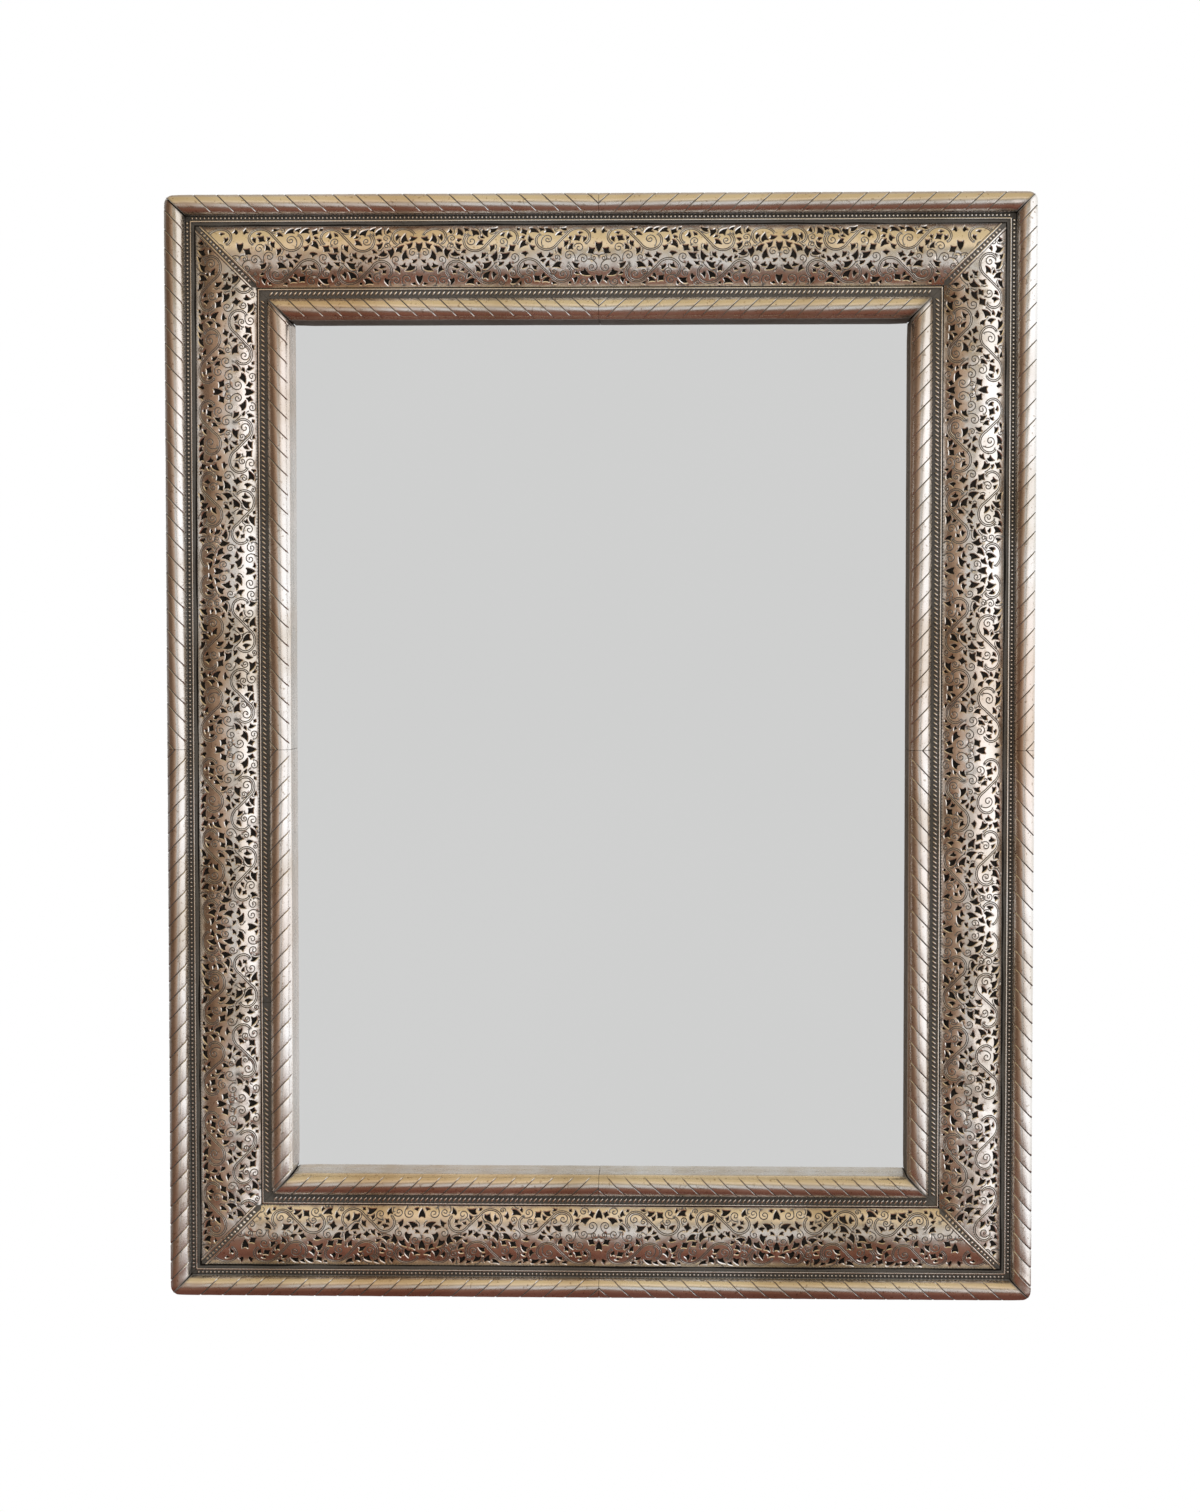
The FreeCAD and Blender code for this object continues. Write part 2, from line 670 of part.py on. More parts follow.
def eye_tail(radius):
    """Where the roll of the eye ends, under the bar that it holds."""
    return f"{EYE_OUTSIDE} + {radius} * {EYE_TAIL_SHARE}", f"-({radius} * sqrt(1 - {EYE_TAIL_SHARE}^2))"


def hanger_strap(sign, label):
    """A flat strap on the wood, with its top end rolled backwards into an eye, whose bar is at z = 0."""
    body = new_body("Strap")
    outline = new_sketch(body, "YZ_Plane")
    draw(outline, [
        ("0", f"-{size('hanger_strap_length')}"),
        ("0", "0", (EYE_OUTSIDE, EYE_OUTSIDE, EYE_OUTSIDE)),
        eye_tail(EYE_OUTSIDE),
        eye_tail(EYE_INSIDE) + ((EYE_INSIDE, EYE_OUTSIDE, EYE_INSIDE),),
        (STRAP, "0"),
        (STRAP, f"-{size('hanger_strap_length')}"),
    ])
    pad(body, outline, size("hanger_strap_width"), midplane=True)
    holes = new_sketch(body, "XZ_Plane")
    for drop in SCREW_DROPS:
        draw_circle(holes, "0", f"-{drop}", SCREW_RADIUS)
    pocket_through(body, holes)
    place(body, 0, f"{sign}{HANGER_X}", HANGER_Z)
    return keep(body, label)


QUARTER_TURN = 90
HALF_TURN = 180


def turn(body, sketch, axis, angle):
    """Turns an outline about one of its sketch's own axes."""
    feature = body.newObject("PartDesign::Revolution", "Turn")
    feature.Profile = sketch
    feature.ReferenceAxis = (sketch, [axis])
    feature.Angle = angle
    return feature


def hanger_ring(sign, label):
    """A closed D of round wire: a bar through the eye, rounded corners, two sides and a half-round bow."""
    half = f"({size('ring_width')} / 2)"
    bend = size("ring_corner_radius")
    low = f"({size('ring_drop')} - {half})"
    body = new_body("Ring")
    bar = new_sketch(body, "YZ_Plane")
    draw_circle(bar, "0", "0", WIRE)
    pad(body, bar, f"2 * ({half} - {bend})", midplane=True)
    start = new_sketch(body, "YZ_Plane", f"{half} - {bend}")
    draw_circle(start, "0", "0", WIRE)
    pivot = start.addGeometry(Part.LineSegment(point("0", f"-{bend}"), point(WIRE, f"-{bend}")), True)
    pin_point(start, pivot, 1, "0", f"-{bend}")
    pin_point(start, pivot, 2, WIRE, f"-{bend}")
    corner = turn(body, start, "Axis0", QUARTER_TURN)
    upper = new_sketch(body, "XY_Plane", f"-{bend}")
    draw_circle(upper, half, "0", WIRE)
    side = pad(body, upper, f"{low} - {bend}", reverse=True)
    doc.recompute()
    other = body.newObject("PartDesign::Mirrored", "OtherSide")
    other.Originals = [corner, side]
    other.MirrorPlane = (next(item for item in body.Origin.OriginFeatures if item.Role == "YZ_Plane"), [""])
    body.Tip = other
    lower = new_sketch(body, "XY_Plane", f"-{low}")
    draw_circle(lower, half, "0", WIRE)
    turn(body, lower, "V_Axis", HALF_TURN)
    place(body, 0, f"{sign}{HANGER_X}", HANGER_Z)
    body.setExpression("Placement.Base.y", EYE_OUTSIDE)
    return keep(body, label)


hanger_strap("-", "hanger_strap_left")
hanger_strap("", "hanger_strap_right")
hanger_ring("-", "hanger_ring_left")
hanger_ring("", "hanger_ring_right")

screws = []
for sign in ("-", ""):
    for drop in SCREW_DROPS:
        at = (f"{sign}{HANGER_X}", f"({HANGER_Z} - {drop})")
        shank = rod(SCREW_RADIUS, size("hanger_screw_length"), (0, -1, 0), at[0], STRAP, at[1])
        head = doc.addObject("Part::Cone", "ScrewHead")
        head.setExpression("Radius1", f"{size('hanger_screw_head_diameter')} / 2")
        head.setExpression("Radius2", SCREW_RADIUS)
        head.setExpression("Height", size("hanger_screw_head_height"))
        head.Placement.Rotation = FreeCAD.Rotation(FreeCAD.Vector(0, 0, 1), FreeCAD.Vector(0, 1, 0))
        for letter, text in zip("xyz", (at[0], STRAP, at[1])):
            head.setExpression(f"Placement.Base.{letter}", text)
        screw = doc.addObject("Part::Fuse", "Screw")
        screw.Base = shank
        screw.Tool = head
        screws.append(screw)
group("hanger_screws", screws)

# Two bumpers keep the lower edge as far off the wall as the hangers hold the upper edge
bumpers = []
for sign in ("-", ""):
    at_x = f"{sign}({WIDTH} / 2 - {FRIEZE_MIDDLE} - {size('bumper_inset')})"
    bumpers.append(rod(f"{size('bumper_diameter')} / 2", size("bumper_height"), (0, 1, 0),
                       at_x, "0", f"-({HEIGHT} / 2 - {FRIEZE_MIDDLE})"))
group("wall_bumpers", bumpers)

# Build everything, look for failures, then write one file for each sub-part
doc.recompute()
failed = [item.Label for item in doc.Objects if {"Invalid", "Error"} & set(item.State)]
for item in subparts:
    if item.Shape.isNull() or not item.Shape.isValid() or not item.Shape.Solids:
        failed.append(item.Label)
if failed:
    raise SystemExit(f"these objects failed: {failed}")
os.makedirs("parts", exist_ok=True)
for item in subparts:
    item.Shape.exportStep(f"parts/{item.Label}.step")
    print(item.Label, len(item.Shape.Solids), round(item.Shape.Volume, 1))
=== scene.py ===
"""The looks of a wall mirror whose wooden frame is clad in pierced and engraved white metal.

A member of the frame is drawn in its own terms: s along it from its middle, u inwards from the
frame's outer edge and v forwards from the wall. All lengths are in metres.
"""

import math

import bmesh
import bpy
import numpy as np
from mathutils import Matrix, Vector, geometry, kdtree, noise


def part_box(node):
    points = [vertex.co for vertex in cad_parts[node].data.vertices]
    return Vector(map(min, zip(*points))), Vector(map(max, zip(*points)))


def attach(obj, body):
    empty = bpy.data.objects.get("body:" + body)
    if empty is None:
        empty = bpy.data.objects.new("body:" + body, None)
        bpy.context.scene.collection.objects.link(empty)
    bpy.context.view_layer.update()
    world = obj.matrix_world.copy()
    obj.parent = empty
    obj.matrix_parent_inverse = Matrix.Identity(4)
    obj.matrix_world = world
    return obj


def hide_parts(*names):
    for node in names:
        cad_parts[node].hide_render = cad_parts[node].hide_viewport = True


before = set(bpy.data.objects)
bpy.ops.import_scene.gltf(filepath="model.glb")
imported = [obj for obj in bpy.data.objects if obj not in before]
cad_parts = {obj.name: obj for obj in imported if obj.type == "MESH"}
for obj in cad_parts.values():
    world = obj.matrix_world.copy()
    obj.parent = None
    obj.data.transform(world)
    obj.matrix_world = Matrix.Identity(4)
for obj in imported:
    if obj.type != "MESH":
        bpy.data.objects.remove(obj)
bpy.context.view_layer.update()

# Sizes that come from the frame
HALF_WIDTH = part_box("outer_bead_right_upper")[1].x
HALF_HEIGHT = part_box("outer_bead_top_left")[1].z


def reach(node):
    """How far in from the top edge a node of the top side starts and ends, and its two levels."""
    low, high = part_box(node)
    return HALF_HEIGHT - high.z, HALF_HEIGHT - low.z, -high.y, -low.y


OUTER_LOW, OUTER_HIGH, SKIRT_LEVEL, OUTER_TOP = reach("outer_bead_top_left")
INNER_LOW, INNER_HIGH, LIP_LEVEL, _ = reach("inner_bead_top_left")
FRIEZE_LOW, FRIEZE_HIGH, FRIEZE_FOOT, FRIEZE_TOP = reach("frieze_top")
_, _, BED_LEVEL, STRIP_TOP = reach("outer_strip_top")
OUTER_STRIP = reach("outer_strip_top")[:2]
INNER_STRIP = reach("inner_strip_top")[:2]
GLASS_LOW = reach("mirror_glass")[0]
PANEL_LOW, _, _, PANEL_LEVEL = reach("back_panel")

# The sheet metal
SHEET = 0.0006
FRIEZE_SHEET = 0.0008
FRIEZE_HALF = (FRIEZE_HIGH - FRIEZE_LOW) / 2
FRIEZE_MIDDLE = (FRIEZE_HIGH + FRIEZE_LOW) / 2
FRIEZE_SAG = FRIEZE_TOP - FRIEZE_SHEET - FRIEZE_FOOT
FRIEZE_INSIDE = (FRIEZE_HALF ** 2 + FRIEZE_SAG ** 2) / (2 * FRIEZE_SAG)
FRIEZE_OUTSIDE = FRIEZE_INSIDE + FRIEZE_SHEET
FRIEZE_CENTRE = FRIEZE_TOP - FRIEZE_OUTSIDE
FRIEZE_ANGLE = math.asin(FRIEZE_HALF / FRIEZE_OUTSIDE)
CORNER_RADIUS = 0.0065
BUTT_GAP = 0.00015
SHARP_ANGLE = 35
CUT_TOLERANCE = 1e-6

# Each side: how far it is turned about Y, half its length, half the frame across it, its two halves
SIDES = {
    "top": (0, HALF_WIDTH, HALF_HEIGHT, ("left", "right")),
    "right": (90, HALF_HEIGHT, HALF_WIDTH, ("upper", "lower")),
    "bottom": (180, HALF_WIDTH, HALF_HEIGHT, ("right", "left")),
    "left": (-90, HALF_HEIGHT, HALF_WIDTH, ("lower", "upper")),
}


def on_side(side, points):
    """Takes an array of (s, u, v) on one side of the frame to (x, y, z)."""
    angle, _, across, _ = SIDES[side]
    turn = math.radians(angle)
    along = np.array([math.cos(turn), 0, -math.sin(turn)])
    inwards = np.array([-math.sin(turn), 0, -math.cos(turn)])
    forwards = np.array([0, -1, 0])
    s, u, v = np.asarray(points, float).T
    return np.outer(s, along) + np.outer(u - across, inwards) + np.outer(v, forwards)


def round_corners(points):
    """Draws the frame's four outer corners in to a radius, with every line round them drawn in alike."""
    corner = np.array([HALF_WIDTH - CORNER_RADIUS, HALF_HEIGHT - CORNER_RADIUS])
    flat = points[:, [0, 2]]
    past = np.maximum(np.abs(flat) - corner, 0)
    length = np.linalg.norm(past, axis=1)
    shrink = np.divide(past.max(axis=1), length, out=np.ones(len(points)), where=length > 0)
    moved = np.minimum(np.abs(flat), corner) + past * shrink[:, None]
    points[:, [0, 2]] = np.sign(flat) * moved
    return points


def new_object(name, points, faces, material):
    mesh = bpy.data.meshes.new(name)
    mesh.from_pydata([tuple(p) for p in points], [], [tuple(f) for f in faces])
    mesh.materials.append(material)
    thing = bpy.data.objects.new(name, mesh)
    bpy.context.scene.collection.objects.link(thing)
    return thing


def add_piece(name, node, points, faces, slot, material, patina_and_painted_shade=0):
    """A mesh that rides on the frame and stands for a CAD node, with its patina and painted shade at each
    point.
    """
    piece = new_object(name, points, faces, material)
    mesh = piece.data
    mesh.validate()
    shades = np.empty(len(mesh.vertices), np.float32)
    shades[:] = patina_and_painted_shade
    mesh.attributes.new("patina_and_painted_shade", "FLOAT", "POINT").data.foreach_set("value", shades)
    mesh.shade_smooth()
    mesh.set_sharp_from_angle(angle=math.radians(SHARP_ANGLE))
    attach(piece, "frame")
    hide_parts(node)


def border_edges(faces):
    """The edges that only one face has, as they run in that face."""
    seen = {}
    for face in faces:
        for a, b in zip(face, (*face[1:], face[0])):
            seen[(a, b)] = True
    return [edge for edge in seen if (edge[1], edge[0]) not in seen]


def point_normals(points, faces):
    mesh = bpy.data.meshes.new("normals")
    mesh.from_pydata([tuple(p) for p in points], [], faces)
    normals = np.empty(3 * len(points), np.float32)
    mesh.vertex_normals.foreach_get("vector", normals)
    bpy.data.meshes.remove(mesh)
    return normals.reshape(-1, 3)


def thicken(points, faces, thickness):
    """Closes an open sheet with a second skin behind it and a rim round its borders."""
    count = len(points)
    back = points - point_normals(points, faces) * thickness
    rim = [(b, a, a + count, b + count) for a, b in border_edges(faces)]
    return np.vstack([points, back]), [*faces, *shifted(flipped(faces), count), *rim]


def grid_faces(rows, columns):
    """Quads over rows of points that follow each other in one list."""
    return [
        (i * columns + j, i * columns + j + 1, (i + 1) * columns + j + 1, (i + 1) * columns + j)
        for i in range(rows - 1) for j in range(columns - 1)
    ]


def flipped(faces):
    return [tuple(reversed(face)) for face in faces]


def shifted(faces, count):
    return [tuple(index + count for index in face) for face in faces]


def wobble(points, size, amount):
    """Slow unevenness of hand-worked metal: one number for each point."""
    return np.array([noise.noise(Vector(p) / size) for p in points]) * amount


def rise(value, low, high):
    """How far a value has gone from one level to another, from 0 to 1."""
    return np.clip((value - low) / (high - low), 0, 1)


# The frieze's pattern: half a repeat of scrolling stems, mirrored about both of its ends
PATTERN_SEED = 11
HALF_REPEAT = 0.1275
SCROLLS = 5
SCROLL_RADIUS = 0.0106
SCROLL_CORE = 0.0050
SCROLL_TURNS = 0.55
SCROLL_EXIT = -25
SCROLL_SPREAD_SHARE = 0.10
STEM_HALF = 0.0006
STEM_CLEAR = 0.00108
STEM_STEP = 0.0009
LEAF_STEP = 0.0030
LEAF_LENGTHS = (0.0044, 0.0066)
LEAF_MOST = 0.0068
LEAF_LEAST = 0.0032
LEAF_TRIES = 9
FILL_LEANS = (40, -40, 140, -140, 75, -75)
LEAF_BREADTH_SHARE = 0.62
LEAF_LEAN = 40
LEAF_LEAN_SPREAD = 8
# A leaf's root stands this many of an opening's margins from its stem
LEAF_MARGINS = 4
LEAF_BOW_SHARE = 0.20
LEAF_NOTCH_SHARE = 0.16
VEIN_CLEAR = 0.0011
VEIN_PAST = 0.0034
VEIN_TURN_SHARE = 0.6
VEIN_ROOM = 0.0002
VEIN_LEAST = 5
LOZENGE_SHARE = 0.80
LOZENGE_WAIST_SHARE = 0.80
LOZENGE_EVERY = 4
EDGE_STEP = 0.0085
EDGE_LENGTHS = (0.0044, 0.0064)
PALMETTE_ANGLES = (0, 60)
PALMETTE_LENGTH = 0.0072
PALMETTE_ROOT = 0.0024
# The turn at which a palmette's leaf would start twice as far out, and that at which it would vanish
PALMETTE_SPREAD = 90
PALMETTE_SHRINK = 300
CURL_LEAST = 0.0022
CURL_MOST = 0.0036
CURLS_TO_GAPS_SHARE = 0.50
CURL_TURNS = 1.15
CURL_RIM_SHARE = 0.95
CURL_CORE_SHARE = 0.18
CURL_TAIL = 110
CURL_TAIL_SHARE = 0.8
FILL_LEAST = 0.0017
SEED_STEP = 0.0011
GAP_MARGIN = 0.00055
GAP_EDGE = 0.0006
MITRE_COVER = 0.0036
SIDE_STEPS = 6
FLAT_SPREAD = FRIEZE_ANGLE * FRIEZE_OUTSIDE

# How the pattern is cut, engraved and raised
RIM_WIDTH = 0.00050
RIM_DROP = 0.00050
SHARP_CORNER_SHARE = 0.75
GROOVE_HALF = 0.00042
GROOVE_DEPTH = 0.00036
GROOVE_LEAST = 3
# Above 1, the patina fills a cut from its floor up its sides
GROOVE_SHADE = 2.0
STROKE_STEP = 0.0008
FILL_STEP = 0.0022
CLEAR_OF_LINES = 0.0007
CLEAR_OF_GAPS = 0.00100
MITRE_STEPS = 16
MITRE_GAP = 0.0001
# How wide the painted shade is along the frieze's long edges, where they run under the strips
EDGE_PAINTED_SHADE = 0.0004
DOME_HEIGHT = 0.00016
STEM_RISE = 0.00012
STEM_REACH = 0.0013
PILLOW_HEIGHT = 0.00013
PILLOW_REACH = 0.0022
FRIEZE_DENT = 0.00012
FRIEZE_DENT_SIZE = 0.012
# The flat pattern is triangulated in millimetres, because metres are too coarse for its tolerance
FLAT_SCALE = 1000.0
FLAT_TOLERANCE = 1e-4


def finer(line, step):
    """Points along a line of points, at most one step apart."""
    parts = []
    for start, finish in zip(line[:-1], line[1:]):
        count = max(1, math.ceil(np.linalg.norm(finish - start) / step))
        parts.append(start + (finish - start) * (np.arange(count) / count)[:, None])
    return np.vstack(parts + [line[-1:]])


def closed(outline):
    return np.vstack([outline, outline[:1]])


def line_ways(line):
    """Which way a line runs at each of its points."""
    way = np.gradient(line, axis=0)
    return way / np.linalg.norm(way, axis=1)[:, None]


def left_of(ways):
    return np.stack([-ways[:, 1], ways[:, 0]], axis=1)


def free_runs(line, free, least):
    """The stretches of a line whose points are all free, where they have enough points."""
    breaks = np.flatnonzero(np.diff(free.astype(int))) + 1
    stretches = zip(np.split(line, breaks), np.split(free, breaks))
    return [run for run, kept in stretches if kept[0] and len(run) >= least]


def heading(angle):
    return np.array([math.cos(angle), math.sin(angle)])


def bow(start, through, finish, steps=SIDE_STEPS):
    """A curve from start to just before finish that passes through a third point half way."""
    handle = 2 * through - (start + finish) / 2
    share = np.arange(steps)[:, None] / steps
    return (1 - share) ** 2 * start + 2 * share * (1 - share) * handle + share ** 2 * finish


def leaf_lines(root, angle, length, bend_to):
    """A leaf's directions along and across it, half its breadth, and its tip."""
    along, across = heading(angle), heading(angle + math.pi / 2)
    half = length * LEAF_BREADTH_SHARE / 2
    return along, across, half, root + along * length + across * bend_to * half


def leaf_gap(root, angle, length, bend_to=0):
    """A pointed opening: two corners at its root, and a tip that may curl aside."""
    along, across, half, tip = leaf_lines(root, angle, length, bend_to)
    first, second = root + across * half, root - across * half
    belly = across * length * LEAF_BOW_SHARE / 2
    lean = across * bend_to * length * LEAF_BOW_SHARE
    return np.vstack([
        bow(first, (first + tip) / 2 + belly - lean, tip),
        bow(tip, (second + tip) / 2 - belly - lean, second),
        bow(second, root + along * length * LEAF_NOTCH_SHARE, first),
    ])


def vein(root, angle, length, bend_to):
    """An engraved line along a leaf's outer side and on past its tip."""
    along, across, half, tip = leaf_lines(root, angle, length, bend_to)
    outwards = across * (1 if bend_to < 0 else -1)
    start = root + outwards * (half + VEIN_CLEAR)
    finish = tip + along * VEIN_PAST + outwards * VEIN_CLEAR * VEIN_TURN_SHARE
    belly = length * LEAF_BOW_SHARE * (1 / 2 + abs(bend_to)) + VEIN_CLEAR
    steps = math.ceil(np.linalg.norm(finish - start) / STROKE_STEP)
    return bow(start, (start + tip) / 2 + outwards * belly, finish, steps)


def lozenge_gap(spot, angle, length):
    """An opening with four corners and hollow sides."""
    reaches = (length / 2, length / 2 * LOZENGE_SHARE)
    corners = [spot + heading(angle + turn * math.pi / 2) * reaches[turn % 2] for turn in range(4)]
    sides = []
    for turn, corner in enumerate(corners):
        after = corners[(turn + 1) % 4]
        hollow = spot + ((corner + after) / 2 - spot) * LOZENGE_WAIST_SHARE
        sides.append(bow(corner, hollow, after))
    return np.vstack(sides)


def scroll(centre, radius, hand, way):
    """A stem's line out from a scroll's core to its rim, where it leaves for the scroll beside it."""
    whole = SCROLL_TURNS * 360
    count = int(math.radians(whole) * radius / STEM_STEP)
    share = np.linspace(0, 1, count)
    turn = np.radians(SCROLL_EXIT - whole * (1 - share))
    size = SCROLL_CORE + (radius - SCROLL_CORE) * share
    return centre + np.stack([way * size * np.cos(turn), hand * way * size * np.sin(turn)], axis=1)


def scroll_centres():
    """The middles of the lower row's scrolls, and of the upper row's, which stand between them."""
    pitch = HALF_REPEAT / SCROLLS
    lower = [np.array([(column + 1 / 2) * pitch, -FLAT_SPREAD / 2]) for column in range(SCROLLS)]
    upper = [np.array([column * pitch, FLAT_SPREAD / 2]) for column in range(1, SCROLLS)]
    return lower, upper


def curl(spot, radius, start, hand):
    """An engraved curl: a tail that comes in from outside, then its rim, then its core."""
    whole = math.radians(CURL_TURNS * 360)
    tail = math.radians(CURL_TAIL)
    count = math.ceil((whole + tail) * radius / STROKE_STEP)
    turn = np.linspace(-tail, whole, count)
    inwards = rise(turn, 0, whole) * (CURL_RIM_SHARE - CURL_CORE_SHARE)
    outwards = rise(-turn, 0, tail) ** 2 * CURL_TAIL_SHARE
    size = radius * (CURL_RIM_SHARE - inwards + outwards)
    angle = start + hand * turn
    return spot + np.stack([size * np.cos(angle), size * np.sin(angle)], axis=1)


class HalfRepeat:
    """What fills half a repeat: openings, stems, strokes and curls, and the room that they take."""

    def __init__(self):
        self.draw = np.random.default_rng(PATTERN_SEED)
        self.gaps, self.gaps_on_axis = [], []
        self.stems, self.strokes, self.curls, self.veins = [], [], [], []
        self.taken = np.zeros((0, 3))
        self.add_stems()
        self.add_palmettes()
        self.add_edges()
        self.add_leaves()
        self.fill()
        self.add_veins()

    def take(self, points, reach):
        self.taken = np.vstack([self.taken, np.column_stack([points, np.full(len(points), reach)])])

    def room(self, points):
        """How much room each point has to what is there, to both mirror lines and to the edges."""
        away = np.linalg.norm(points[:, None] - self.taken[None, :, :2], axis=2) - self.taken[:, 2]
        edge = FLAT_SPREAD - GAP_EDGE - np.abs(points[:, 1])
        axis = np.minimum(points[:, 0], HALF_REPEAT - points[:, 0]) - GAP_MARGIN
        return np.min([away.min(axis=1), edge, axis], axis=0)

    def add_stems(self):
        """Pairs of scrolls on one S-shaped stem, and one scroll that is left over."""
        for hand, row in zip((1, -1), scroll_centres()):
            for first in range(0, len(row), 2):
                line = self.one_scroll(row[first], hand, 1)
                if first + 1 < len(row):
                    line = np.vstack([line, self.one_scroll(row[first + 1], hand, -1)[::-1]])
                self.add_stem(finer(line, STEM_STEP))

    def one_scroll(self, centre, hand, way):
        radius = SCROLL_RADIUS * (1 - self.draw.uniform(0, 2) * SCROLL_SPREAD_SHARE)
        return scroll(centre, radius, hand, way)

    def add_stem(self, line):
        """A raised stem between two engraved lines."""
        across = left_of(line_ways(line))
        self.stems.append(line)
        self.strokes += [line + across * STEM_HALF, line - across * STEM_HALF]
        self.take(line, STEM_HALF + STEM_CLEAR - GAP_MARGIN)

    def add_gap(self, outline):
        """Adds an opening where it has room, and says whether it had."""
        fits = self.room(outline).min() > GAP_MARGIN
        if fits:
            self.gaps.append(outline)
            self.take(finer(closed(outline), GAP_MARGIN), GAP_MARGIN)
        return fits

    def add_leaf(self, root, angle, length, bend_to):
        """Adds a leaf-shaped opening and its vein where it has room, and says whether it had."""
        fits = self.add_gap(leaf_gap(root, angle, length, bend_to))
        if fits:
            self.veins.append(vein(root, angle, length, bend_to))
        return fits

    def add_veins(self):
        """Engraves the stretches of the veins that keep off everything else."""
        for line in self.veins:
            self.strokes += free_runs(line, self.room(line) > VEIN_ROOM, VEIN_LEAST)

    def add_palmettes(self):
        """Leaves that stand on the mirror lines, and a pair beside each, two sets to each line."""
        for axis, outwards in ((0, 1), (HALF_REPEAT, -1)):
            for edge in (-1, 1):
                foot = np.array([axis, edge * FLAT_SPREAD / 2])
                for angle in PALMETTE_ANGLES:
                    way = math.radians(90 - outwards * angle)
                    root = foot + heading(way) * PALMETTE_ROOT * (1 + angle / PALMETTE_SPREAD)
                    outline = leaf_gap(root, way, PALMETTE_LENGTH * (1 - angle / PALMETTE_SHRINK))
                    if angle:
                        self.add_gap(outline)
                    else:
                        self.gaps_on_axis.append(outline)
                        self.take(outline, GAP_MARGIN)

    def add_edges(self):
        """Openings that lie along both edges of the panel."""
        for edge in (-1, 1):
            for s in np.arange(EDGE_STEP / 2, HALF_REPEAT, EDGE_STEP):
                length = self.draw.uniform(*EDGE_LENGTHS)
                start = s + self.draw.uniform(-1, 1) * EDGE_STEP / 4
                half = length * LEAF_BREADTH_SHARE / 2
                t = edge * (FLAT_SPREAD - GAP_EDGE - GAP_MARGIN - half)
                self.add_leaf(np.array([start, t]), 0, length, edge)

    def add_leaves(self):
        """Leaves along both sides of the stems, leaning the way that the stem runs."""
        step = round(LEAF_STEP / STEM_STEP)
        for stem in self.stems:
            ways = line_ways(stem)
            for place, index in enumerate(range(step, len(stem) - step, step)):
                side = 1 if place % 2 else -1
                angle = math.atan2(ways[index][1], ways[index][0])
                foot = heading(angle + side * math.pi / 2) * (STEM_HALF + LEAF_MARGINS * GAP_MARGIN)
                stray = self.draw.uniform(-1, 1) * LEAF_LEAN_SPREAD
                lean = angle + side * math.radians(LEAF_LEAN + stray)
                self.add_leaf(stem[index] + foot, lean, self.draw.uniform(*LEAF_LENGTHS), -side)

    def nearest_way(self, spot):
        """Which way the nearest stem runs."""
        stem = min(self.stems, key=lambda line: np.linalg.norm(line - spot, axis=1).min())
        way = line_ways(stem)[np.linalg.norm(stem - spot, axis=1).argmin()]
        return math.atan2(way[1], way[0])

    def add_curl(self, spot, radius, angle):
        """A curl whose tail stops at the stem that it comes from."""
        line = curl(spot, radius, angle + math.pi / 2, 1 if len(self.curls) % 2 else -1)
        for stem in self.stems:
            away = np.linalg.norm(line[:, None] - stem[None], axis=2).min(axis=1)
            blocked = np.flatnonzero(away < STEM_HALF)
            if len(blocked):
                line = line[blocked.max() + 1:]
        self.curls.append((*spot, radius))
        self.strokes.append(line)
        self.take(spot[None], radius)

    def add_widest(self, spot, angle):
        """The longest opening that fits about a spot: a lozenge now and then, or else a leaf."""
        for length in np.linspace(LEAF_MOST, LEAF_LEAST, LEAF_TRIES):
            if len(self.gaps) % LOZENGE_EVERY == 0 and self.add_gap(lozenge_gap(spot, angle, length)):
                return
            for lean in np.radians(FILL_LEANS):
                root = spot - heading(angle + lean) * length / 2
                if self.add_leaf(root, angle + lean, length, np.sign(lean)):
                    return
        self.take(spot[None], FILL_LEAST)

    def fill(self):
        """Curls and openings in what room is left, widest places first."""
        seeds = np.array([(s, t) for s in np.arange(0, HALF_REPEAT, SEED_STEP)
                          for t in np.arange(-FLAT_SPREAD, FLAT_SPREAD, SEED_STEP)])
        seeds += self.draw.uniform(-1, 1, seeds.shape) * SEED_STEP / 3
        room = self.room(seeds)
        at_first = len(self.gaps)
        while room.max() > FILL_LEAST:
            spot, clear = seeds[room.argmax()], room.max()
            before = len(self.taken)
            angle = self.nearest_way(spot)
            due = len(self.curls) <= CURLS_TO_GAPS_SHARE * (len(self.gaps) - at_first)
            if due and clear > CURL_LEAST:
                self.add_curl(spot, min(clear, CURL_MOST), angle)
            else:
                self.add_widest(spot, angle)
            added = self.taken[before:]
            away = np.linalg.norm(seeds[:, None] - added[None, :, :2], axis=2) - added[:, 2]
            room = np.minimum(room, away.min(axis=1))


def flat_area(outline):
    """An outline's area, which is negative where it runs clockwise."""
    s, t = outline.T
    return (np.dot(s, np.roll(t, -1)) - np.dot(t, np.roll(s, -1))) / 2


def depth_in(t):
    """How far in from the frame's outer edge a place across the flat frieze lies once it is bent."""
    return FRIEZE_MIDDLE + FRIEZE_OUTSIDE * np.sin(t / FRIEZE_OUTSIDE)


def between_mitres(points, half_length, margin):
    """Which flat points keep that far off a panel's mitred ends."""
    return np.abs(points[:, 0]) < half_length - depth_in(points[:, 1]) - margin


half_repeat = HalfRepeat()


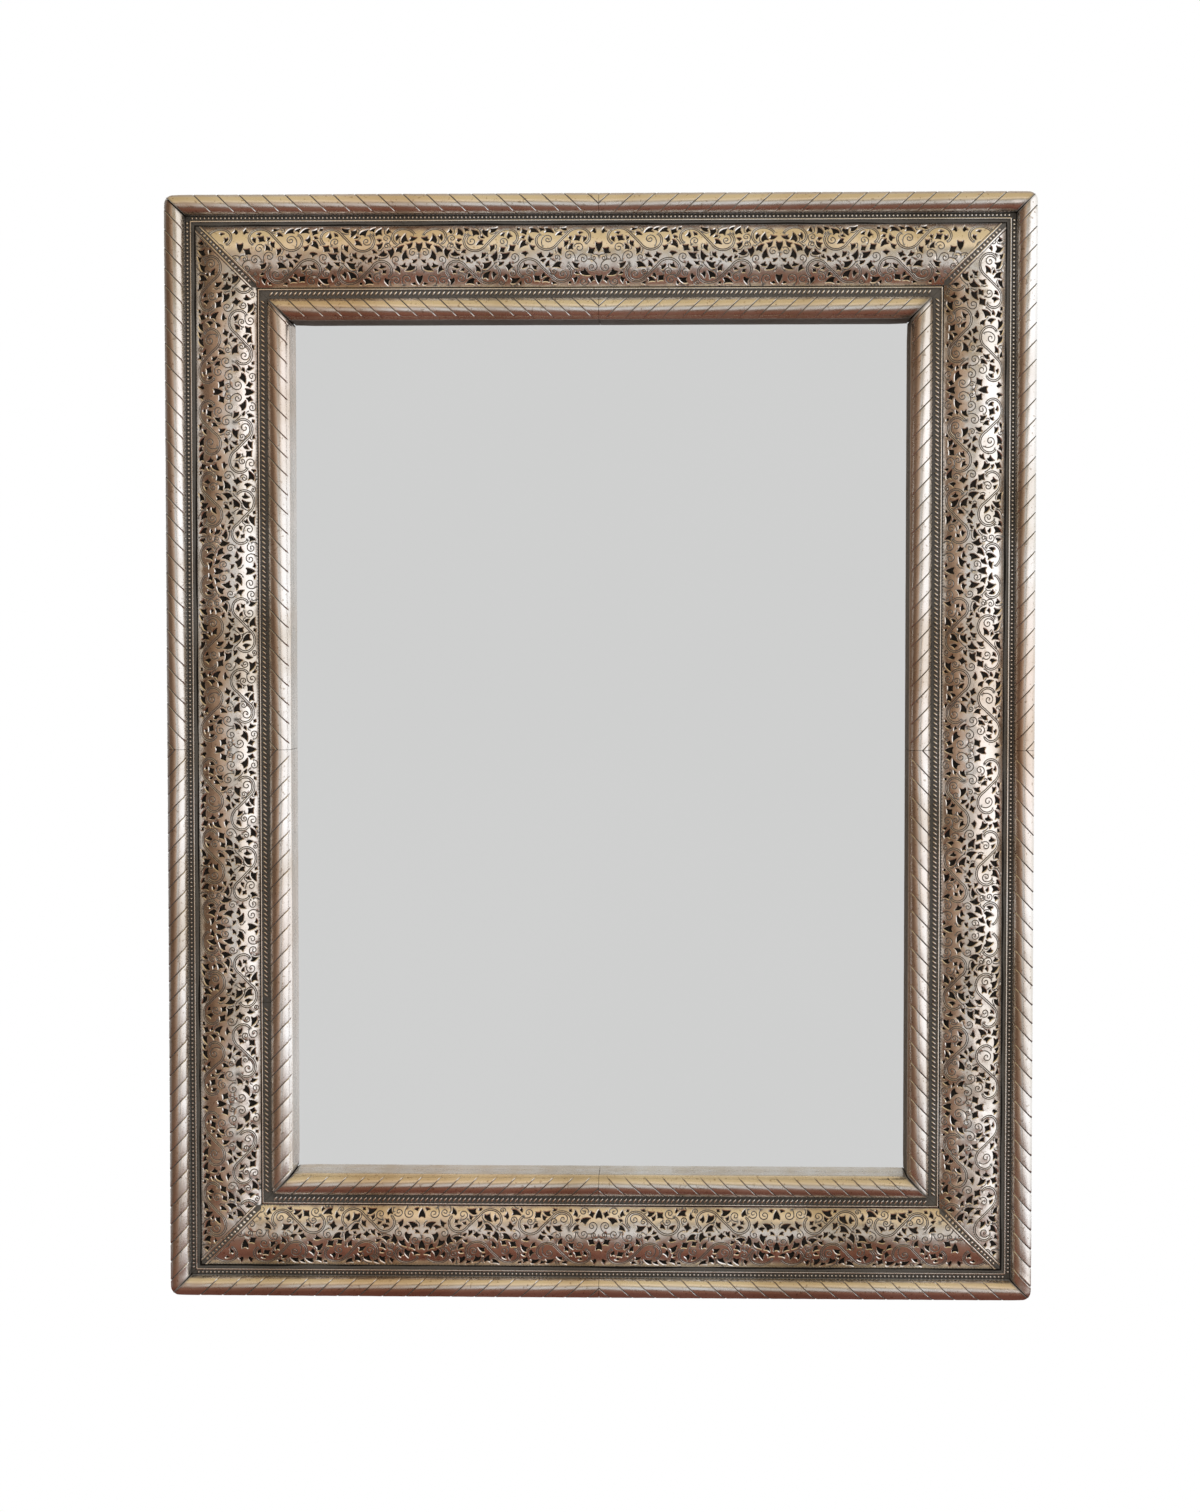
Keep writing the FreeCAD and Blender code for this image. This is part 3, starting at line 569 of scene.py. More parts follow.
def frieze_pattern(half_length):
    """The raised curls and stems, the openings and the engraved strokes of one panel, laid flat."""
    curls, stems, gaps, strokes = [], [], [], []
    repeats = math.ceil(half_length / HALF_REPEAT) + 1
    for turn in range(-repeats, repeats + 1):
        # Every second half repeat is a mirror image, so that its ends meet its neighbours' alike
        start, way = (turn, 1) if turn % 2 == 0 else (turn + 1, -1)
        shift, flip = np.array([start * HALF_REPEAT, 0]), np.array([way, 1])
        on_axis = half_repeat.gaps_on_axis if way > 0 else []
        for outline in half_repeat.gaps + on_axis:
            moved = outline * flip + shift
            if between_mitres(moved, half_length, MITRE_COVER).all():
                gaps.append(moved if flat_area(moved) > 0 else moved[::-1])
        strokes += [stroke * flip + shift for stroke in half_repeat.strokes]
        stems += [stem * flip + shift for stem in half_repeat.stems]
        curls += [(s * way + shift[0], t, radius) for s, t, radius in half_repeat.curls]
    return np.array(curls), np.vstack(stems), gaps, strokes


def flat_tree(samples):
    """A tree that finds the nearest of many flat points."""
    tree = kdtree.KDTree(len(samples))
    for index, (s, t) in enumerate(samples):
        tree.insert((s, t, 0), index)
    tree.balance()
    return tree


def distances(tree, points):
    return np.array([tree.find((s, t, 0))[2] for s, t in points])


def panel_border(half_length):
    """The outline of a flat panel: two long edges and two mitres, which are curved before it is bent."""
    across = np.linspace(-FLAT_SPREAD, FLAT_SPREAD, MITRE_STEPS)
    ends = half_length - depth_in(across) - MITRE_GAP
    right = np.stack([ends, across], axis=1)
    left = np.stack([-ends, across], axis=1)[::-1]
    return finer(closed(np.vstack([right, left])), FILL_STEP)[:-1]


def clear_runs(strokes, outline_tree, half_length):
    """The stretches of strokes that keep off the openings, the mitres and the panel's edges."""
    runs = []
    for stroke in strokes:
        free = between_mitres(stroke, half_length, MITRE_COVER)
        free &= np.abs(stroke[:, 1]) < FLAT_SPREAD - CLEAR_OF_LINES
        free &= distances(outline_tree, stroke) > CLEAR_OF_GAPS
        runs += free_runs(stroke, free, GROOVE_LEAST)
    return runs


def groove_lines(run, first):
    """A groove's bottom and its two sides, which meet at both ends, and how their points are joined."""
    side = left_of(line_ways(run))[1:-1] * GROOVE_HALF
    count = len(run)
    points = np.vstack([run, run[1:-1] + side, run[1:-1] - side])
    chains = [list(range(count))]
    for start in (count, 2 * count - 2):
        chains.append([0, *range(start, start + count - 2), count - 1])
    edges = [(a + first, b + first) for chain in chains for a, b in zip(chain, chain[1:])]
    return points, edges


def fill_points(half_length, line_tree):
    """A loose grid over a flat panel that keeps off its lines, and a row close to each long edge."""
    rows = np.arange(-FLAT_SPREAD + FILL_STEP / 2, FLAT_SPREAD, FILL_STEP)
    columns = np.arange(-half_length, half_length, FILL_STEP)
    grid = np.array([(s + FILL_STEP / 2 * (index % 2), t)
                     for index, t in enumerate(rows) for s in columns])
    grid = grid[distances(line_tree, grid) > CLEAR_OF_LINES]
    last_row = FLAT_SPREAD - EDGE_PAINTED_SHADE
    grid = np.vstack([grid, [(s, t) for t in (-last_row, last_row) for s in columns]])
    return grid[between_mitres(grid, half_length, CLEAR_OF_LINES)]


def triangulate(points, edges, loops):
    """Triangles inside the first loop and outside the others, and where each given point went."""
    flat = geometry.delaunay_2d_cdt(
        [Vector(p) for p in points * FLAT_SCALE], edges, loops, 0, FLAT_TOLERANCE)
    triangles = [tuple(face) for face, owners in zip(flat[2], flat[5]) if list(owners) == [0]]
    went = {source: index for index, sources in enumerate(flat[3]) for source in sources}
    return np.array([tuple(p) for p in flat[0]]) / FLAT_SCALE, triangles, went


def bend(flat, lift, half_length):
    """Bends flat points to the frieze's curve, lifted off its inner skin, and trims the mitres."""
    angle = flat[:, 1] / FRIEZE_OUTSIDE
    radius = FRIEZE_INSIDE + lift
    u = FRIEZE_MIDDLE + radius * np.sin(angle)
    v = FRIEZE_CENTRE + radius * np.cos(angle)
    room = half_length - u - MITRE_GAP
    return np.stack([np.clip(flat[:, 0], -room, room), u, v], axis=1)


def compact(points, faces, shades):
    """Leaves out the points that no face uses."""
    used = sorted({index for face in faces for index in face})
    order = {index: place for place, index in enumerate(used)}
    return points[used], [tuple(order[index] for index in face) for face in faces], shades[used]


def widened(outline):
    """A ring round an opening, where the sheet starts to turn down, with sharp corners cut off."""
    way = np.roll(outline, -1, axis=0) - outline
    way /= np.linalg.norm(way, axis=1)[:, None]
    after = -left_of(way)
    before = np.roll(after, 1, axis=0)
    ring = []
    for point, first, second in zip(outline, before, after):
        if np.dot(first, second) > SHARP_CORNER_SHARE:
            middle = first + second
            ring.append(point + middle / np.linalg.norm(middle) * RIM_WIDTH)
        else:
            ring += [point + first * RIM_WIDTH, point + second * RIM_WIDTH]
    return np.array(ring)


def frieze_mesh(half_length):
    """One pierced and engraved panel in (s, u, v), with its share of patina at each point, and of painted
    shade along its long edges.
    """
    curls, stems, gaps, strokes = frieze_pattern(half_length)
    border = panel_border(half_length)
    outlines = [border] + gaps
    rims = np.vstack(outlines)
    starts = np.cumsum([0] + [len(outline) for outline in outlines])
    loops = [list(range(a, b)) for a, b in zip(starts, starts[1:])]
    outline_samples = np.vstack([finer(closed(outline), GROOVE_HALF) for outline in outlines])
    runs = clear_runs(strokes, flat_tree(outline_samples), half_length)
    points, edges, count = [rims], [], len(rims)
    for ring in map(widened, gaps):
        points.append(ring)
        edges += [(count + index, count + (index + 1) % len(ring)) for index in range(len(ring))]
        count += len(ring)
    for run in runs:
        added, joined = groove_lines(run, count)
        points.append(added)
        edges += joined
        count += len(added)
    groove_samples = np.vstack([finer(run, GROOVE_HALF / 4)[2:-2] for run in runs])
    points.append(fill_points(half_length, flat_tree(np.vstack([outline_samples, groove_samples]))))
    front, front_faces, front_went = triangulate(np.vstack(points), edges, loops)
    back, back_faces, back_went = triangulate(rims, [], loops)

    cut = 1 - rise(distances(flat_tree(groove_samples), front), 0, GROOVE_HALF)
    curl_tree = flat_tree(curls[:, :2])
    nearest = [curl_tree.find((s, t, 0)) for s, t in front]
    crown = np.array([max(0, 1 - (distance / curls[index, 2]) ** 2) for _, index, distance in nearest])
    stem = 1 - rise(distances(flat_tree(stems), front), 0, STEM_REACH) ** 2
    drop = np.zeros(len(front))
    drop[[front_went[source] for source in range(len(border), len(rims))]] = RIM_DROP
    from_gaps = distances(flat_tree(outline_samples[len(finer(closed(border), GROOVE_HALF)):]), front)
    pillow = PILLOW_HEIGHT * np.sin(rise(from_gaps, 0, PILLOW_REACH) * math.pi / 2)
    dents = [wobble(np.insert(flat, 2, 0, axis=1), FRIEZE_DENT_SIZE, FRIEZE_DENT)
             for flat in (front, back)]
    lift = FRIEZE_SHEET + DOME_HEIGHT * crown + STEM_RISE * stem - GROOVE_DEPTH * cut - drop
    lift += pillow + dents[0]
    solid = np.vstack([bend(front, lift, half_length), bend(back, dents[1], half_length)])

    count = len(front)
    faces = flipped(front_faces)
    walls = border_edges(faces)
    faces += shifted(back_faces, count)
    below = {front_went[source]: back_went[source] + count for source in range(len(rims))}
    faces += [(b, a, below[a], below[b]) for a, b in walls]
    # Painted shade: the sheet is darkened along its long edges, where they run under the strips. The dark
    # in the cuts is patina.
    edge = rise(np.abs(front[:, 1]), FLAT_SPREAD - EDGE_PAINTED_SHADE, FLAT_SPREAD)
    shades = np.concatenate([np.maximum(cut * GROOVE_SHADE, edge ** 2), np.ones(len(back))])
    return compact(solid, faces, shades)


# Bead sleeves: half-round sheet with slanting scores, cut at the middle of a side and at the mitre
SPRING = OUTER_TOP - (OUTER_HIGH - OUTER_LOW) / 2
OUTER_SCORE_PITCH = {"top": 0.0165, "bottom": 0.0165, "left": 0.0135, "right": 0.0135}
INNER_SCORE_PITCH = 0.0135
SCORE_SEED = 5
SCORE_STRAY = 0.0008
SCORE_HALF = 0.00064
SCORE_DEPTH = 0.00048
SCORE_SHADE = 1.5
RIDGE_HEIGHT = 0.00006
RIDGE_REACH = 0.0013
# Degrees round a bead from its outer side between which its scores fade out, and between which their
# patina is lightened, a painted highlight
SCORE_FADE = (140, 165)
SCORE_PAINTED_HIGHLIGHT = (80, 125)
SCORE_PAINTED_HIGHLIGHT_SHARE = 0.6
SCORE_SKIRT = 0.004
BEAD_STEPS = 26
FOOT_STEP = 0.005
BEAD_DENT = 0.00007
BEAD_DENT_SIZE = 0.024
CRUMPLE = 0.0007
CRUMPLE_SIZE = 0.006
CRUMPLE_REACH = 0.012
CRUMPLE_SHADE_POWER = 10
BEAD_SHEET = 0.0005
CORNER_STEP = 0.0012
# How dark the painted shade is where a bead meets a strip, and where the inner bead meets the glass; on
# the lips it is darker on the top and right sides than on the bottom and left, after how the light falls
# on each
FOOT_TURN = 150
FOOT_PAINTED_SHADE = 0.65
LIP_PAINTED_SHADES = {"top": 0.8, "right": 0.8, "bottom": 0, "left": 0.1}
# How far a sleeve falls short of the mitre at its outer edge, by side and half
MITRE_OPENINGS = {("left", 1): 0.0018, ("right", 1): 0.0012, ("top", 1): 0.0006}


def arch(low, high, inset, steps):
    """A bead's half round across the member, drawn in by an inset."""
    turn = np.linspace(0, math.pi, steps)
    radius = (high - low) / 2 - inset
    return np.stack([low + inset + radius * (1 - np.cos(turn)), SPRING + radius * np.sin(turn)], axis=1)


def bead_profile(low, high, low_foot, high_foot):
    """A bead's outer skin across the member: up from one foot, over the arch, down to the other."""
    up = finer(np.array([(low, low_foot), (low, SPRING)]), FOOT_STEP)[:-1]
    down = finer(np.array([(high, SPRING), (high, high_foot)]), FOOT_STEP)[1:]
    return np.vstack([up, arch(low, high, 0, BEAD_STEPS), down])


def bead_normals(points, low, high):
    """Which way a bead's skin faces at each point, and how far round from its outer side that is."""
    radius = (high - low) / 2
    across = (points[:, 1] - low - radius) / radius
    up = np.maximum(points[:, 2] - SPRING, 0) / radius
    length = np.hypot(across, up)
    normals = np.stack([np.zeros(len(points)), across / length, up / length], axis=1)
    return normals, np.degrees(np.arctan2(up, -across))


def score_places(half, half_length, pitch, draw):
    count = int(half_length / pitch)
    return half * (pitch * (np.arange(count) + 1 / 2) + draw.uniform(-1, 1, count) * SCORE_STRAY)


def cut_mesh(points, faces, planes, clear):
    """Cuts a mesh along planes, each a point and a direction, and may clear away what lies that way."""
    work = bmesh.new()
    corners = [work.verts.new(tuple(p)) for p in points]
    for face in faces:
        work.faces.new([corners[index] for index in face])
    for spot, direction in planes:
        whole = work.verts[:] + work.edges[:] + work.faces[:]
        bmesh.ops.bisect_plane(work, geom=whole, dist=CUT_TOLERANCE, plane_co=spot, plane_no=direction,
                               clear_outer=clear)
    work.verts.index_update()
    points = np.array([tuple(corner.co) for corner in work.verts])
    faces = [tuple(corner.index for corner in face.verts) for face in work.faces]
    work.free()
    return points, faces


def bead_mesh(side, half, low, high, feet, pitch, draw):
    """One sleeve's outer skin in (s, u, v), and its patina with painted shade at its feet and lip and a
    painted highlight in its scores.
    """
    half_length = SIDES[side][1]
    scores = score_places(half, half_length, pitch, draw)
    shifts = np.array([-RIDGE_REACH, -SCORE_HALF, 0, SCORE_HALF, RIDGE_REACH])
    middles = (scores[1:] + scores[:-1]) / 2
    ends = half * (half_length - np.arange(0, 2 * CORNER_RADIUS, CORNER_STEP))
    stations = np.unique(np.concatenate([[0], ends, middles, (scores[:, None] + shifts).ravel()]))
    profile = bead_profile(low, high, *feet)
    sheared = stations[:, None] - half * (profile[:, 0] - low)[None, :]
    points = np.array([(s, u, v) for row in sheared for s, (u, v) in zip(row, profile)])
    faces = grid_faces(len(stations), len(profile))
    wide = high - low
    opening = MITRE_OPENINGS.get((side, half), 0) if low == OUTER_LOW else 0
    corner = (half * (half_length - low - opening - MITRE_GAP), low, 0)
    butt = ((half * BUTT_GAP, 0, 0), (-half, 0, 0))
    mitre = (corner, (half * wide, wide - opening, 0))
    points, faces = cut_mesh(points, faces, (butt, mitre), True)

    normals, turn = bead_normals(points, low, high)
    along = points[:, 0] + half * (points[:, 1] - low)
    away = np.abs(along[:, None] - scores[None, :]).min(axis=1)
    fade = (1 - rise(turn, *SCORE_FADE)) * rise(points[:, 2], SPRING - SCORE_SKIRT, SPRING)
    cut = (1 - rise(away, 0, SCORE_HALF)) * fade
    ridge = (1 - rise(np.abs(away - RIDGE_REACH), 0, RIDGE_REACH - SCORE_HALF)) * fade
    to_mitre = half_length - points[:, 1] - np.abs(points[:, 0])
    crumple = 1 - rise(to_mitre, 0, CRUMPLE_REACH)
    world = on_side(side, points)
    dents = BEAD_DENT + wobble(world, BEAD_DENT_SIZE, BEAD_DENT)
    dents += crumple * (CRUMPLE + wobble(world, CRUMPLE_SIZE, CRUMPLE)) / 2
    inwards = RIDGE_HEIGHT * (1 - ridge) + SCORE_DEPTH * cut + dents
    points -= normals * inwards[:, None]
    # A score's patina is dark on the bead's outer half and lightened on its inner half, a painted
    # highlight
    scored = cut * SCORE_SHADE * (1 - SCORE_PAINTED_HIGHLIGHT_SHARE * rise(turn, *SCORE_PAINTED_HIGHLIGHT))
    shades = np.maximum(scored, crumple ** CRUMPLE_SHADE_POWER)
    inner_foot = rise(turn, FOOT_TURN, 180)
    outer_foot = 1 - rise(turn, 0, 180 - FOOT_TURN)
    # Painted shade: the bead is darkened at its feet by a strip and, on the inner bead, at its lip by the
    # glass
    if low == INNER_LOW:
        painted_feet_and_lip_shade = np.maximum(inner_foot * LIP_PAINTED_SHADES[side], outer_foot * FOOT_PAINTED_SHADE)
    else:
        painted_feet_and_lip_shade = inner_foot * FOOT_PAINTED_SHADE
    return points, faces, np.maximum(shades, painted_feet_and_lip_shade)


# Border strips: a low band with one round rim on it, and a row of dots or slanting ropework beside the rim
STRIP_RIM = 0.0015
STRIP_BAND = BED_LEVEL + 0.0004
RIM_FOOT = (STRIP_TOP - STRIP_BAND) / 4
STRIP_STEP = 0.006
STRIP_WAVE = 0.00012
STRIP_WAVE_SIZE = 0.03
# A rim's section: shares of half its breadth and of its height
RIM_SHARES = ((-1, 0.1), (-0.85, 0.6), (-0.45, 0.92), (0, 1.0), (0.45, 0.92), (0.85, 0.6), (1, 0.1))
DOT_SIDES = 8
# The rings of a dot from its foot up: shares of its size and of its height
DOT_SHARES = ((1, -0.2), (0.92, 0.45), (0.6, 0.85))
DOT_SHADE_SHARE = 0.65
GROUND_SHADE = 1.0
# A row of dots: its pitch, a dot's length, breadth and height, and how far it leans in degrees
ROUND_DOTS = (0.0029, 0.0019, 0.0022, 0.0011, 0)
ROPE_DOTS = (0.0034, 0.0016, 0.0042, 0.0010, 38)
PEARL_DOTS = (0.0032, 0.0024, 0.0024, 0.0010, 0)
# What stands on a strip: how far in from its outer edge its rim and its dots lie, and the dots
OUTER_RELIEF = (0.0037, 0.0014, ROUND_DOTS)
INNER_RELIEF = (0.0010, 0.0041, ROPE_DOTS)


def strip_profile(low, high, rim_in):
    """A strip's section: a low band with a round rim on it."""
    height = STRIP_TOP - STRIP_BAND
    rim = [(low + rim_in + STRIP_RIM / 2 * across, STRIP_BAND + height * up) for across, up in RIM_SHARES]
    return np.array([(low, BED_LEVEL), (low, STRIP_BAND), *rim, (high, STRIP_BAND), (high, BED_LEVEL)])


def dome_faces(sides, rings):
    """Faces over rings of points, one above the other, with a flat foot and one last point as a tip."""
    faces = [tuple(reversed(range(sides)))]
    top = (rings - 1) * sides
    for j in range(sides):
        k = (j + 1) % sides
        for low in range(0, top, sides):
            faces.append((low + j, low + k, low + sides + k, low + sides + j))
        faces.append((top + j, top + k, top + sides))
    return faces


def dot_shape(length, breadth, height, lean):
    """A low dome with a closed foot: its points about its middle, and its faces."""
    angles = np.arange(DOT_SIDES) * 2 * math.pi / DOT_SIDES
    ring = np.stack([np.cos(angles) * length / 2, -np.sin(angles) * breadth / 2], axis=1)
    turn = math.radians(lean)
    ring = ring @ np.array([[math.cos(turn), math.sin(turn)], [-math.sin(turn), math.cos(turn)]])
    points = [(s * size, u * size, height * level) for size, level in DOT_SHARES for s, u in ring]
    points.append((0, 0, height))
    return np.array(points), dome_faces(DOT_SIDES, len(DOT_SHARES))


def join(*parts):
    """Puts meshes together. Each is its points, faces and shades."""
    points, faces, shades, count = [], [], [], 0
    for some, some_faces, some_shades in parts:
        points.append(some)
        faces += shifted(some_faces, count)
        shades.append(some_shades)
        count += len(some)
    return np.vstack(points), faces, np.concatenate(shades)


def dot_row(places, shape, height):
    """The same dot at every place, dark at its foot."""
    points, faces = dot_shape(*shape)
    shade = 1 - rise(points[:, 2], 0, height * DOT_SHADE_SHARE)
    return join(*[(points + place, faces, shade) for place in places])


def sweep(profile, starts, finishes, step, ends_step=None):
    """A closed profile drawn along s from one slanting end to the other, with both ends closed."""
    length = (finishes - starts).max()
    shares = np.linspace(0, 1, max(2, math.ceil(length / step) + 1))
    if ends_step:
        near = np.arange(0, CORNER_RADIUS * 2, ends_step) / length
        shares = np.unique(np.concatenate([shares, near, 1 - near]))
    count = len(profile)
    points = np.array([
        (start + share * (finish - start), u, v)
        for share in shares for start, finish, (u, v) in zip(starts, finishes, profile)])
    faces = []
    for i in range(len(shares) - 1):
        for j in range(count):
            k = (j + 1) % count
            faces.append((i * count + j, i * count + k, (i + 1) * count + k, (i + 1) * count + j))
    last = (len(shares) - 1) * count
    faces.append(tuple(reversed(range(count))))
    faces.append(tuple(range(last, last + count)))
    return points, faces


def strip_mesh(side, low, high, relief, start=None, finish=None):
    """A border strip in (s, u, v), between its mitres or from or up to a seam."""
    rim_in, dots_in, (pitch, *shape) = relief
    half_length = SIDES[side][1]
    profile = strip_profile(low, high, rim_in)
    mitre = half_length - profile[:, 0] - MITRE_GAP
    starts = -mitre if start is None else np.full(len(profile), start)
    finishes = mitre if finish is None else np.full(len(profile), finish)
    points, faces = sweep(profile, starts, finishes, STRIP_STEP)
    band = points[:, 2] < STRIP_BAND + RIM_FOOT
    middle = low + dots_in
    room = half_length - middle - shape[1]
    first, last = -room if start is None else start + pitch, room if finish is None else finish - pitch
    count = int((last - first) / pitch)
    along = first + (last - first) * (np.arange(count) + 1 / 2) / count
    places = np.stack([along, np.full(count, middle), np.full(count, STRIP_BAND)], axis=1)
    points, faces, shades = join(
        (points, faces, band * GROUND_SHADE), dot_row(places, shape, shape[2]))
    points[:, 2] += wobble(on_side(side, points), STRIP_WAVE_SIZE, STRIP_WAVE)
    return points, faces, shades


# Strips over the mitres: across, they have two rims and a row of pearls
MITRE_HALF = 0.0035
MITRE_FOOT = 0.0002
# One half of the section: shares of half its breadth and of its lift
MITRE_SHARES = (
    (-1, 0.05), (-0.90, 0.20), (-0.87, 0.70), (-0.78, 0.95), (-0.68, 1.0), (-0.58, 0.95), (-0.49, 0.70),
    (-0.45, 0.20), (0, 0.20))
MITRE_FLOOR_SHARE = 0.5
MITRE_LIFT = 0.0012
MITRE_STATIONS = 40
PEARL_SHADE_SHARE = 0.5
CORNERS = {"top_right": (1, 1), "bottom_right": (1, -1), "bottom_left": (-1, -1), "top_left": (-1, 1)}


def shell(u, lift):
    """The level of the frieze's curve at a depth from the outer edge, that far above its outer skin."""
    return FRIEZE_CENTRE + np.sqrt((FRIEZE_OUTSIDE + lift) ** 2 - (u - FRIEZE_MIDDLE) ** 2)


def at_corner(corner, along, across, lift):
    """Takes places along and across a corner's mitre to (x, y, z)."""
    right, up = CORNERS[corner]
    first = along + across / math.sqrt(2)
    second = along - across / math.sqrt(2)
    level = shell(np.minimum(first, second), lift)
    return np.stack([right * (HALF_WIDTH - first), -level, up * (HALF_HEIGHT - second)], axis=1)


def mitre_mesh(corner):
    """A mitre strip in (x, y, z) with its patina."""
    section = MITRE_SHARES + tuple((-across, up) for across, up in reversed(MITRE_SHARES[:-1]))
    across = np.array([share * MITRE_HALF for share, _ in section])
    up = np.array([level for _, level in section])
    low = FRIEZE_LOW + np.abs(across) / math.sqrt(2)
    high = FRIEZE_HIGH - np.abs(across) / math.sqrt(2)
    shares = np.linspace(0, 1, MITRE_STATIONS)[:, None]
    along = (low + shares * (high - low)).ravel()
    wide = np.tile(across, MITRE_STATIONS)
    lift = MITRE_FOOT + np.tile(up, MITRE_STATIONS) * MITRE_LIFT
    points = at_corner(corner, along, wide, lift)
    faces = grid_faces(MITRE_STATIONS, len(section))
    pitch, *shape = PEARL_DOTS
    pearl, pearl_faces = dot_shape(*shape)
    if math.prod(CORNERS[corner]) < 0:
        faces = flipped(faces)
        pearl_faces = flipped(pearl_faces)
    points, faces = thicken(points, faces, MITRE_FOOT)
    sunk = np.tile(up < MITRE_FLOOR_SHARE, 2 * MITRE_STATIONS)
    parts = [(points, faces, sunk * GROUND_SHADE)]
    run = FRIEZE_HIGH - FRIEZE_LOW - 2 * MITRE_HALF
    count = int(run * math.sqrt(2) / pitch)
    for place in FRIEZE_LOW + MITRE_HALF + run * (np.arange(count) + 1 / 2) / count:
        spots = at_corner(corner, place + pearl[:, 0] / math.sqrt(2), pearl[:, 1],
                          MITRE_FOOT + MITRE_LIFT * up.min() + pearl[:, 2])
        parts.append((spots, pearl_faces, np.clip(PEARL_SHADE_SHARE - pearl[:, 2] / shape[2], 0, 1)))
    return join(*parts)


# Wooden rails: the moulding's section, drawn in a little under the sheet
RAIL_INSET = 0.0015
BEDDING = 0.0001
RAIL_STEP = 0.06
RAIL_END_STEP = 0.0012
RAIL_BEAD_STEPS = 9
RAIL_CURVE_STEPS = 13
RAIL_NODES = {"top": "top_rail", "bottom": "bottom_rail", "left": "left_stile", "right": "right_stile"}


def rail_profile():
    angle = np.linspace(-1, 1, RAIL_CURVE_STEPS) * FRIEZE_ANGLE
    radius = FRIEZE_INSIDE - BEDDING
    curve = np.stack([np.sin(angle), np.cos(angle)], axis=1) * radius + (FRIEZE_MIDDLE, FRIEZE_CENTRE)
    glass_seat = GLASS_LOW - BEDDING
    panel_seat = PANEL_LOW - BEDDING
    return np.vstack([
        [(OUTER_LOW + RAIL_INSET, 0)],
        arch(OUTER_LOW, OUTER_HIGH, RAIL_INSET, RAIL_BEAD_STEPS),
        [(OUTER_HIGH - RAIL_INSET, BED_LEVEL)],
        curve,
        [(INNER_LOW + RAIL_INSET, BED_LEVEL)],
        arch(INNER_LOW, INNER_HIGH, RAIL_INSET, RAIL_BEAD_STEPS),
        [(INNER_HIGH - RAIL_INSET, LIP_LEVEL), (glass_seat, LIP_LEVEL), (glass_seat, PANEL_LEVEL)],
        [(panel_seat, PANEL_LEVEL), (panel_seat, 0)],
    ])


def rail_mesh(side):
    profile = rail_profile()
    mitre = SIDES[side][1] - profile[:, 0]
    return sweep(profile, -mitre, mitre, RAIL_STEP, RAIL_END_STEP)


# Turned pieces on the back: screw heads and bumpers
TURN_SIDES = 28
SCREW_HEAD_SHARES = ((1, 0), (1, 0.12), (0.93, 0.45), (0.72, 0.78), (0.4, 0.96), (0, 1))
SCREW_HEAD_RADIUS = 0.0035
SCREW_HEAD_HEIGHT = 0.0022
SCREW_LEANS = (20, -55, 75, -10)
SLOT_HALF = 0.00045
SLOT_SHARE = 0.55
BUMPER_SHARES = ((1, 0), (1, 0.72), (0.97, 0.86), (0.88, 0.96), (0.76, 1), (0.4, 0.97), (0, 0.95))


def lathe(shares, radius, height):
    """A solid of revolution along +y from a flat foot to its closed tip."""
    angles = np.arange(TURN_SIDES) * 2 * math.pi / TURN_SIDES
    points = [(radius * r * math.cos(a), height * h, radius * r * math.sin(a))
              for r, h in shares[:-1] for a in angles]
    points.append((0, height * shares[-1][1], 0))
    return np.array(points), flipped(dome_faces(TURN_SIDES, len(shares) - 1))


def screw_head(lean):
    """A screw head with a driver's slot, turned by an angle."""
    head = lathe(SCREW_HEAD_SHARES, SCREW_HEAD_RADIUS, SCREW_HEAD_HEIGHT)
    cuts = (-SLOT_HALF - BEDDING, -SLOT_HALF, SLOT_HALF, SLOT_HALF + BEDDING)
    points, faces = cut_mesh(*head, [((x, 0, 0), (1, 0, 0)) for x in cuts], False)
    in_slot = np.abs(points[:, 0]) < SLOT_HALF + BEDDING / 2
    points[in_slot, 1] = np.minimum(points[in_slot, 1], SCREW_HEAD_HEIGHT * SLOT_SHARE)
    turn = np.array(Matrix.Rotation(math.radians(lean), 3, "Y"))
    return points @ turn.T, faces


# Materials
def feed(tree, node, inputs):
    """Gives inputs, by name or number, a socket to follow or a plain value."""
    for key, source in inputs.items():
        if isinstance(source, bpy.types.NodeSocket):
            tree.links.new(source, node.inputs[key])
        else:
            node.inputs[key].default_value = source


def add_node(tree, kind, inputs, **settings):
    node = tree.nodes.new(kind)
    for setting, value in settings.items():
        setattr(node, setting, value)
    feed(tree, node, inputs)
    return node


def make_material(name, recipe, *values):
    """A material whose shader's inputs come from a recipe."""
    material = bpy.data.materials.new(name)
    material.use_nodes = True
    tree = material.node_tree
    feed(tree, tree.nodes["Principled BSDF"], recipe(tree, *values))
    return material


def place_on_piece(tree):
    return tree.nodes.new("ShaderNodeTexCoord").outputs["Object"]


def cloud(tree, scale, detail, stretch=(1, 1, 1)):
    """Noise from 0 to 1 that stays on the piece."""
    spread = add_node(tree, "ShaderNodeMapping", {"Vector": place_on_piece(tree), "Scale": stretch})
    inputs = {"Vector": spread.outputs["Vector"], "Scale": scale, "Detail": detail}
    return add_node(tree, "ShaderNodeTexNoise", inputs).outputs["Fac"]


def ramp(tree, source, *stops):
    """Colours along a number. Each stop is where it lies and its colour."""
    node = tree.nodes.new("ShaderNodeValToRGB")
    marks = node.color_ramp.elements
    while len(marks) < len(stops):
        marks.new(1)
    for mark, (place, colour) in zip(marks, stops):
        mark.position = place
        mark.color = (*colour, 1)
    feed(tree, node, {"Fac": source})
    return node.outputs["Color"]


